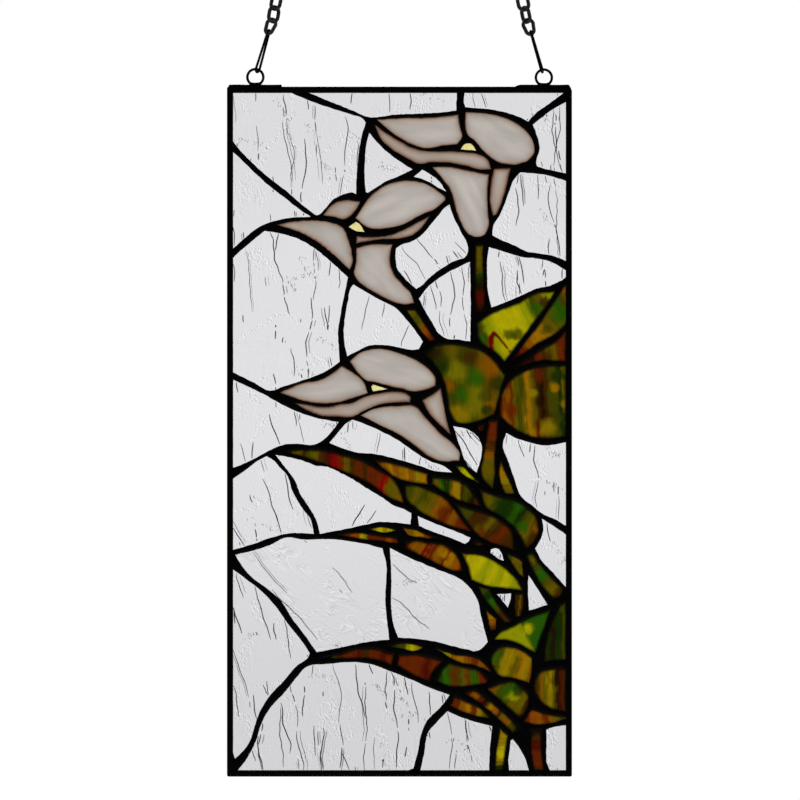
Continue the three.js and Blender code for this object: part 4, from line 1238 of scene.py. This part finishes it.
class LILY_OT_clear_panes(bpy.types.Operator):
    """Build the clear, folded panes of the background"""
    bl_idname = "lily.clear_panes"
    bl_label = "Clear panes"
    bl_options = {"REGISTER", "UNDO"}

    # How many ropes of curls the whole panel has, and the area in square millimetres that has one in other
    # panes.
    panel_ropes = 110
    rope_area = 900
    soft_rope_area = 2500
    # How much of the painted fold shade is kept in the soft panes.
    soft_ink = 0.45

    def execute(self, context):
        """Most panes share one field of folds that runs down the whole panel; the others have their own."""
        sizes = in_millimetres(context.scene.lily_panel)
        colours = context.scene.lily_colours
        corner = (WIDTH, HEIGHT)
        random = np.random.default_rng(12)
        lines, length = fold_lines(random, (0, 0), corner, math.radians(DOWN), sizes.fold_spacing)
        shared = (lines, fold_dashes(random, lines, length))
        flecks = fold_flecks(random, (0, 0), corner, math.radians(DOWN), self.panel_ropes)
        upright = clear_glass("clear_glass", colours, DOWN, drawn_out=1.7, crinkle=2.2, flow=0.1)
        flowing = clear_glass("clear_glass_soft", colours, -36, drawn_out=2.6, crinkle=1.9, flow=0.4)
        names = sorted(name for name in OPENINGS if name.startswith("clear"))
        for seed, name in enumerate(names, start=40):
            degrees, share = PANE_FOLDS.get(name, (DOWN, 1.0))
            angle = math.radians(degrees)
            soft = name in SOFT_PANES
            random = np.random.default_rng(seed)
            (lines, dashes), curls = shared, flecks
            if degrees != DOWN:
                loop = OPENINGS[name]
                low, high = loop.min(axis=0), loop.max(axis=0)
                lines, length = fold_lines(random, low, high, angle, sizes.fold_spacing / max(share, 1.0))
                dashes = fold_dashes(random, lines, length)
                ropes = signed_area(loop) / (self.soft_rope_area if soft else self.rope_area)
                curls = fold_flecks(random, low, high, angle, ropes)
            kept = random.random(len(dashes["which"])) < share
            dashes = {key: value[kept] for key, value in dashes.items()}
            if soft:
                dashes["painted_fold_shade"] *= self.soft_ink
            relief = fold_relief(seed, angle)
            folds = pane_folds(((lines, dashes), curls), name, sizes.glass_half, relief)
            material = flowing if soft else upright
            add_pane(name, material, "glass_clear", sizes, sizes.clear_cell, relief, folds)
        return {"FINISHED"}


def petal_shape(loop):
    """A petal's direction in degrees, along which its outline is longest, and its mean breadth: twice its
    area over its outline's length."""
    longest = np.linalg.svd(loop - loop.mean(axis=0), full_matrices=False)[2][0]
    around = np.linalg.norm(np.roll(loop, -1, axis=0) - loop, axis=1).sum()
    return math.degrees(math.atan2(longest[1], longest[0])), 2 * signed_area(loop) / around


class LILY_OT_petals(bpy.types.Operator):
    """Build the milky panes of the lilies and their yellow spadices"""
    bl_idname = "lily.petals"
    bl_label = "Petals"
    bl_options = {"REGISTER", "UNDO"}

    # The width over which a broad petal's rim fades, the breadth under which it fades over more, and at
    # most how many times more.
    fade = 10
    broad = 14
    widest = 1.7

    def execute(self, context):
        """Each pane's front is its plate with a soft swell of waves; its rim fades over more in a narrow
        petal."""
        sizes = in_millimetres(context.scene.lily_panel)
        colours = context.scene.lily_colours
        yellow = spadix_glass(colours)
        names = sorted(name for name in OPENINGS if name.startswith("lily") and not name.endswith("stem"))
        for seed, name in enumerate(names, start=90):
            if name.endswith("spadix"):
                add_pane(name, yellow, "glass_spadix", sizes, sizes.leaf_cell,
                         lambda x, z: 0.05 * waves(x, z, 8, count=4, shortest=3, longest=8))
                continue
            degrees, breadth = petal_shape(OPENINGS[name])
            fade = self.fade * min(max(self.broad / breadth, 1.0), self.widest)
            add_pane(name, petal_glass("glass_" + name, colours, degrees, fade), "glass_petal", sizes,
                     sizes.petal_cell, lambda x, z: 0.05 * waves(x, z, seed, count=5, shortest=6, longest=24))
        return {"FINISHED"}


def vein_share(veins, x, z):
    """How much of a pane's veins shows at a place: 1 inside their half width, fading to 0 at twice that."""
    points = np.stack([x, z], axis=1)
    share = np.zeros(len(points))
    for vein in veins:
        line = np.array(vein, float)
        for a, b in zip(line, line[1:]):
            span = b[:2] - a[:2]
            t = np.clip((points - a[:2]) @ span / (span @ span), 0, 1)
            away = np.linalg.norm(points - a[:2] - t[:, None] * span, axis=1)
            share = np.maximum(share, np.clip(2 - away / (a[2] + t * (b[2] - a[2])), 0, 1))
    return share


class LILY_OT_leaves(bpy.types.Operator):
    """Build the streaky panes of the leaves and stems"""
    bl_idname = "lily.leaves"
    bl_label = "Leaves and stems"
    bl_options = {"REGISTER", "UNDO"}

    def execute(self, context):
        """Each pane's front is its plate with fine waves that follow one another as its colours do."""
        sizes = in_millimetres(context.scene.lily_panel)
        slots = pane_slots()
        for seed, name in enumerate(STREAKS, start=120):
            angle = math.radians(STREAKS[name][0])
            veined = name in RED_VEINS
            values = {"vein": lambda x, z: vein_share(RED_VEINS[name], x, z)} if veined else {}
            cell = sizes.vein_cell if veined else sizes.leaf_cell

            def relief(x, z, seed=seed, angle=angle):
                return 0.06 * waves(x, z, seed, count=6, shortest=3, longest=10, angle=angle, spread=0.3)

            add_pane(name, streaky_glass(name, OPENINGS[name]), slots[name], sizes, cell, relief, **values)
        return {"FINISHED"}


def frame_outline(sizes):
    """The frame's outer edge, counter-clockwise: straight sides, and a quarter circle at each corner."""
    points = []
    corners = ((WIDTH, 0, -90, sizes.frame_corner), (WIDTH, HEIGHT, 0, sizes.soft_corner),
               (0, HEIGHT, 90, sizes.frame_corner), (0, 0, 180, sizes.frame_corner))
    for x, z, first, radius in corners:
        turn = np.radians(first + np.linspace(0, 90, 9))
        middle = np.array([x + (radius if x == 0 else -radius), z + (radius if z == 0 else -radius)])
        points.append(middle + radius * np.stack([np.cos(turn), np.sin(turn)], axis=1))
    loop = np.concatenate(points)
    chord = np.roll(loop, -1, axis=0) - loop
    i, t = shares(np.maximum(1, np.round(np.linalg.norm(chord, axis=1) / FRAME_STEP)).astype(int))
    return loop[i] + t[:, None] * chord[i]


class LILY_OT_frame_channel(bpy.types.Operator):
    """Build the blackened zinc channel round the panel, with its soldered corners"""
    bl_idname = "lily.frame_channel"
    bl_label = "Frame channel"
    bl_options = {"REGISTER", "UNDO"}

    # The rounding of the channel's outer edges and of its lip, and how far it stays inside its solid's depth.
    ease = 0.35
    lip_ease = 0.1
    within = 0.008
    # A solder seam's half length as a share of the face, its rise over the frame and its half width.
    seam_length = 0.62
    seam_rise = 0.16
    seam_width = 0.55

    def execute(self, context):
        """A channel section carried round the outline. A section point at depth d lies d / face of the way
        from the outline to the nearest point of the opening's rectangle, so that the corners come out
        mitred."""
        sizes = in_millimetres(context.scene.lily_panel)
        outer = frame_outline(sizes)
        face, wall, half = sizes.frame_face, sizes.frame_wall, FRAME_HALF
        inner = np.clip(outer, face, (WIDTH - face, HEIGHT - face))
        ease, slight = self.ease, self.lip_ease
        lip = [(ease, half), (face - ease, half), (face - slight, half - slight), (face, half - ease),
               (face, half - wall + slight), (face - slight, half - wall), (wall, half - wall)]
        section = [(0, -half + ease), (0, -half / 2), (0, 0), (0, half / 2), (0, half - ease)]
        section += [(slight, half - slight)] + lip + [(depth, -y) for depth, y in reversed(lip)]
        section += [(slight, -half + slight)]
        depth, y = np.array(section).T
        share = (depth / face)[None, :, None]
        flat = outer[:, None, :] * (1 - share) + inner[:, None, :] * share
        # The black coat is brushed on: its surface wavers a little.
        coat = 0.01 * waves(flat[:, :, 0], flat[:, :, 1], 11, count=8, shortest=5, longest=22)
        rings = np.stack([flat[:, :, 0], y * (1 - self.within) + coat, flat[:, :, 1]], axis=2).reshape(-1, 3)
        parts = [(rings, facing_out(rings, grid_triples(len(outer), len(section))))]
        for x, z, turn in ((0, 0, 1), (WIDTH, 0, -1), (0, HEIGHT, -1), (WIDTH, HEIGHT, 1)):
            parts.append(self.seam(x, z, turn, face))
        vertices, triples = joined(parts)
        metal = patina("black_zinc", (2, 2, 2), roughness=0.42, specular=0.06, grain=500.0)
        add_piece("frame_channel", vertices, triples, metal, "black_patina", ("frame",))
        return {"FINISHED"}

    def seam(self, x, z, turn, face):
        """A soldered mitre: a flat bead across the corner, as an ellipsoid turned by 45 degrees, on both
        faces."""
        vertices, triples = ball((self.seam_length * face, FRAME_HALF + self.seam_rise, self.seam_width))
        angle = math.radians(45) * turn
        turned = vertices @ np.array([[math.cos(angle), 0, math.sin(angle)], [0, 1, 0],
                                      [-math.sin(angle), 0, math.cos(angle)]])
        inward = np.array([1 if x == 0 else -1, 0, 1 if z == 0 else -1])
        return turned + np.array([x, 0, z]) + inward * 0.52 * face, triples


class LILY_OT_corner_plates(bpy.types.Operator):
    """Build the strips soldered on the frame's top edge, and the solder round each ring's foot"""
    bl_idname = "lily.corner_plates"
    bl_label = "Corner plates"
    bl_options = {"REGISTER", "UNDO"}

    # How deep a strip's foot lies in the frame, its section's power, and the half width and height of the
    # solder.
    depth = 0.9
    power = 0.45
    foot_width = 3.6
    foot_height = 0.9

    def execute(self, context):
        """A strip's section is a rounded bar; its height follows its length, rising at its ends along a
        quarter wave and swelling under the ring into a foot of solder."""
        metal = patina("black_solder_strip", (2, 2, 2), roughness=0.42, specular=0.06)
        u = around(28)
        across = np.sign(np.cos(u)) * np.abs(np.cos(u)) ** self.power
        upward = np.sign(np.sin(u)) * np.abs(np.sin(u)) ** self.power
        for side, hang in HANGING.items():
            node = "corner_plate_" + side
            low, high = (np.array(corner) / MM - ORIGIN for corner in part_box(node))
            x = np.linspace(low[0], high[0], 90)
            ends = hang["plate_ends"]
            shape = np.clip(np.minimum((x - low[0]) / ends[0], (high[0] - x) / ends[1]), 0, 1)
            shape = np.sin(shape * math.pi / 2) ** 0.7
            lumps = 1 + 0.05 * waves(x, np.zeros_like(x), 21, count=5, shortest=6, longest=20)
            away = (x - node_middle("hanging_ring_" + side)[0]) / self.foot_width
            foot = self.foot_height * np.exp(-(away ** 4))
            top = low[2] + ((high[2] - low[2]) * shape * lumps + foot).clip(0.02, None)
            base = low[2] - self.depth
            half = (high[1] - low[1]) / 2 * (0.25 + 0.75 * shape)
            middle, tall = (top + base) / 2, (top - base) / 2
            rings = np.stack([np.repeat(x[:, None], len(u), axis=1), half[:, None] * across[None],
                              middle[:, None] + tall[:, None] * upward[None]], axis=2)
            vertices, triples = capped(rings, (x[0], 0, middle[0]), (x[-1], 0, middle[-1]))
            add_piece(node + "_solder", vertices, triples, metal, "black_patina", (node,))
        return {"FINISHED"}


def leaning(lean):
    """The unit direction that leans from upright by that many degrees, in the panel's plane."""
    return np.array([math.sin(math.radians(lean)), 0, math.cos(math.radians(lean))])


def link_axes(lean, turn):
    """A link's width's direction, its long axis and its plane's normal: turned about Z, then leaning about
    Y."""
    a, b = math.radians(turn), math.radians(lean)
    tilt = np.array([[math.cos(b), 0, math.sin(b)], [0, 1, 0], [-math.sin(b), 0, math.cos(b)]])
    return tilt @ (math.cos(a), math.sin(a), 0), leaning(lean), tilt @ (-math.sin(a), math.cos(a), 0)


def oval(length, low_width, high_width, count=96):
    """A closed link's centre line: two half circles joined by straight runs, a little wider at one end."""
    u = around(count)
    width = np.where(np.sin(u) > 0, high_width, low_width) / 2
    rise = np.sin(u) * width + np.sign(np.sin(u)) * (length / 2 - width)
    spread = np.cos(u) * width
    near = np.abs(np.sin(u)) < 1e-9
    rise[near], spread[near] = 0.0, np.cos(u[near]) * (low_width + high_width) / 4
    return spread, rise


def add_loop(piece, node, middle, axes, line, radius, sides, material, slot):
    """A closed wire round a centre line that is given along the first two axes, from its middle."""
    across, up, normal = axes
    spread, rise = line
    path = middle + rise[:, None] * up + spread[:, None] * across
    vertices, triples = wire(path, normal, radius, sides)
    add_piece(piece, vertices, triples, material, slot, (node,))


def node_middle(node):
    """The middle of a solid's box, in panel coordinates."""
    low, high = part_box(node)
    return (np.array(low) + np.array(high)) / 2 / MM - ORIGIN


def chain_metal(name):
    """The dark iron of the chains and the rings they end in."""
    return patina(name, (26, 23, 26), roughness=0.36, specular=0.35)


class LILY_OT_rings(bpy.types.Operator):
    """Build the soldered rings on the frame and the rings at the top of the chains"""
    bl_idname = "lily.rings"
    bl_label = "Rings"
    bl_options = {"REGISTER", "UNDO"}

    # The top rings' size and wire beside the soldered ones', so that they stay inside their solids' depth.
    top_size = 0.96
    top_wire = 0.94

    def execute(self, context):
        """A ring is a circle of wire; the soldered one thickens towards its foot as the solder climbs it."""
        hanger = in_millimetres(context.scene.lily_hanger)
        dark = patina("black_ring", (3, 3, 3), roughness=0.34, specular=0.15)
        metal = chain_metal("black_ring_top")
        u = around(120)
        circle = hanger.ring_radius * np.stack([np.cos(u), np.sin(u)])
        radius = hanger.ring_wire / 2
        swell = 1 + 0.9 * np.clip((-np.sin(u) - 0.72) / 0.28, 0, 1) ** 1.2
        flat = np.array([(1, 0, 0), (0, 0, 1), (0, 1, 0)])
        for side, hang in HANGING.items():
            node = "hanging_ring_" + side
            add_loop(node + "_fine", node, node_middle(node), flat, circle, radius * swell, 18, dark,
                     "black_patina")
            node = "top_ring_" + side
            axes = link_axes(hang["chain_lean"], hang["turns"][(hanger.links - 1) % 2] + 90)
            add_loop(node + "_fine", node, node_middle(node), axes, self.top_size * circle,
                     self.top_wire * radius, 18, metal, "chain_black")
        return {"FINISHED"}


class LILY_OT_wire_links(bpy.types.Operator):
    """Build the long wire links between the rings and the chains"""
    bl_idname = "lily.wire_links"
    bl_label = "Wire links"
    bl_options = {"REGISTER", "UNDO"}

    # Where the wire's ends are joined, as a share of its length, and the joint's half length and swell.
    joint_place = 0.18
    joint_length = 1.1
    joint_swell = 0.22

    def execute(self, context):
        """A long closed loop, wider at its lower end, whose wire swells a little where its ends are
        joined."""
        hanger = in_millimetres(context.scene.lily_hanger)
        dark = patina("black_wire", (3, 3, 3), roughness=0.36, specular=0.15)
        for side, hang in HANGING.items():
            node = "wire_link_" + side
            low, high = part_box(node)
            solid_up = leaning(hang["wire_lean"])
            length = (high[2] - low[2]) / MM / solid_up[2] - hanger.loop_wire - 0.1
            foot = node_middle(node) - length / 2 * solid_up
            length += hang["longer"]
            axes = link_axes(hang["wire_lean"] + hang["further"], hang["wire_turn"])
            spread, rise = oval(length, hanger.loop_foot, hanger.loop_head)
            joint = np.exp(-((rise - self.joint_place * length) / self.joint_length) ** 2) * (spread < 0)
            radius = hanger.loop_wire / 2 * (1 + self.joint_swell * joint)
            middle = foot + length / 2 * axes[1]
            add_loop(node + "_fine", node, middle, axes, (spread, rise), radius, 14, dark, "black_patina")
        return {"FINISHED"}


class LILY_OT_chains(bpy.types.Operator):
    """Build the chains, each link a piece of its own"""
    bl_idname = "lily.chains"
    bl_label = "Chains"
    bl_options = {"REGISTER", "UNDO"}

    # The lowest link's foot beside the other widths, and the swell of a link's wire at its ends.
    foot_share = 0.8
    end_swell = 0.12

    def execute(self, context):
        """Each link leans by itself and starts where the last one ends; together they reach the solid's
        ends."""
        hanger = in_millimetres(context.scene.lily_hanger)
        metal = chain_metal("chain_black")
        inner = hanger.chain_length - hanger.chain_wire
        width = hanger.chain_width - hanger.chain_wire
        for side, hang in HANGING.items():
            node = "chain_" + side
            low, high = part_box(node)
            solid_up = leaning(hang["chain_lean"])
            reach = (high[2] - low[2]) / MM - hanger.chain_length - 0.3
            top = node_middle(node) + reach / 2 * solid_up / solid_up[2]
            reach -= hang["raised"]
            ups = [leaning(lean) for lean in hang["leans"][:hanger.links]]
            pitch = reach / (sum(up[2] for up in ups) - (ups[0][2] + ups[-1][2]) / 2)
            centres = [top]
            for above, below in zip(ups[::-1], ups[-2::-1]):
                centres.append(centres[-1] - pitch / 2 * (above + below))
            for i, centre in enumerate(centres[::-1]):
                axes = link_axes(hang["leans"][i], hang["turns"][i % 2])
                spread, rise = oval(inner, width * (self.foot_share if i == 0 else 1.0), width)
                swell = 1 + self.end_swell * (rise / np.abs(rise).max()) ** 4
                add_loop(f"{node}_link_{i + 1}", node, centre, axes, (spread, rise),
                         hanger.chain_wire / 2 * swell, 16, metal, "chain_black")
        return {"FINISHED"}


# Each soft lamp: its place from the panel's middle and its size, in metres.
LAMPS = {
    "lamp_left": ((-2.0, -1.2, 1.3), 1.2),
    "lamp_right": ((2.1, -0.9, 0.8), 0.9),
    "lamp_back": ((-1.6, 1.6, 1.2), 1.2),
}
# The view's middle: how far right of the panel's middle, and how high over its foot, in millimetres.
VIEW_RIGHT = 0.4
VIEW_UP = 277.3


class LILY_OT_stage(bpy.types.Operator):
    """Set up the pale floor, the soft light, the white surroundings and the camera"""
    bl_idname = "lily.stage"
    bl_label = "Stage"
    bl_options = {"REGISTER", "UNDO"}

    def execute(self, context):
        """The camera looks level at the panel. Its lens is the sensor's width times the distance over the
        view's width, so that the panel fills that width."""
        scene = context.scene
        settings = in_millimetres(scene.lily_stage)
        middle = Vector(((FRAME_LOW[0] + WIDTH / 2 + VIEW_RIGHT) * MM, 0, (FRAME_LOW[2] + VIEW_UP) * MM))
        lens = bpy.data.cameras.new("camera")
        lens.sensor_width = 36.0
        lens.lens = lens.sensor_width * settings.distance / settings.view_width
        lens.clip_end = 50.0
        camera = bpy.data.objects.new("camera", lens)
        camera.location = middle + Vector((0, -settings.distance * MM, 0))
        camera.rotation_euler = (math.pi / 2, 0, 0)
        scene.collection.objects.link(camera)
        scene.camera = camera
        self.floor(scene, settings)
        for name, (place, size) in LAMPS.items():
            lamp = bpy.data.lights.new(name, "AREA")
            lamp.energy = settings.light
            lamp.size = size
            holder = bpy.data.objects.new(name, lamp)
            holder.location = middle + Vector(place)
            holder.rotation_euler = (middle - holder.location).to_track_quat("-Z", "Y").to_euler()
            scene.collection.objects.link(holder)
        scene.world = self.surroundings(settings)
        scene.view_settings.view_transform = "Standard"
        return {"FINISHED"}

    def floor(self, scene, settings):
        """A round, matt, pale floor under the panel."""
        u = around(96)
        height = FRAME_LOW[2] - settings.floor_drop
        ring = np.stack([settings.floor_radius * np.cos(u), settings.floor_radius * np.sin(u),
                         np.full_like(u, height)], axis=1) * MM
        mesh = bpy.data.meshes.new("floor")
        mesh.from_pydata(ring.tolist(), [], [list(range(len(ring)))])
        pale = Finish("pale_floor")
        pale.shade(Base_Color=(0.9, 0.9, 0.9, 1.0), Roughness=0.9, Specular_IOR_Level=0.2)
        mesh.materials.append(pale.material)
        plate = bpy.data.objects.new("floor", mesh)
        scene.collection.objects.link(plate)

    def surroundings(self, settings):
        """White all round as the eye and the glass see it, softer for matt surfaces and nearly black for
        glossy ones: the strength is the larger of each ray's share."""
        world = bpy.data.worlds.new("studio")
        nodes = Nodes(world)
        ray = nodes.add("ShaderNodeLightPath").outputs
        seen = nodes.maths("MAXIMUM", ray["Is Camera Ray"], ray["Is Transmission Ray"])
        matt = nodes.maths("MULTIPLY", ray["Is Diffuse Ray"], settings.soft_light)
        strength = nodes.maths("MAXIMUM", nodes.maths("MAXIMUM", seen, matt), settings.surroundings)
        nodes.shade(Color=(1, 1, 1, 1), Strength=strength)
        return world


OPERATORS = (
    LILY_OT_stage,
    LILY_OT_solder_lines,
    LILY_OT_clear_panes,
    LILY_OT_petals,
    LILY_OT_leaves,
    LILY_OT_frame_channel,
    LILY_OT_corner_plates,
    LILY_OT_rings,
    LILY_OT_wire_links,
    LILY_OT_chains,
)


class LILY_PT_sidebar(bpy.types.Panel):
    """Lists the settings and the steps of the build"""
    bl_idname = "LILY_PT_sidebar"
    bl_label = "Lily Panel"
    bl_space_type = "VIEW_3D"
    bl_region_type = "UI"
    bl_category = "Lily Panel"

    def draw(self, context):
        for key, group in SETTINGS.items():
            settings = getattr(context.scene, key)
            box = self.layout.box()
            for name in group.__annotations__:
                box.prop(settings, name)
        for operator in OPERATORS:
            self.layout.operator(operator.bl_idname)


def register():
    for group in SETTINGS.values():
        bpy.utils.register_class(group)
    for operator in OPERATORS:
        bpy.utils.register_class(operator)
    bpy.utils.register_class(LILY_PT_sidebar)
    for key, group in SETTINGS.items():
        setattr(bpy.types.Scene, key, PointerProperty(type=group))


def unregister():
    for key in SETTINGS:
        delattr(bpy.types.Scene, key)
    bpy.utils.unregister_class(LILY_PT_sidebar)
    for operator in reversed(OPERATORS):
        bpy.utils.unregister_class(operator)
    for group in reversed(SETTINGS.values()):
        bpy.utils.unregister_class(group)


def main():
    """Builds everything in order."""
    register()
    for operator in OPERATORS:
        group, name = operator.bl_idname.split(".")
        getattr(getattr(bpy.ops, group), name)()
    bpy.context.view_layer.update()


if __name__ == "__main__":
    main()
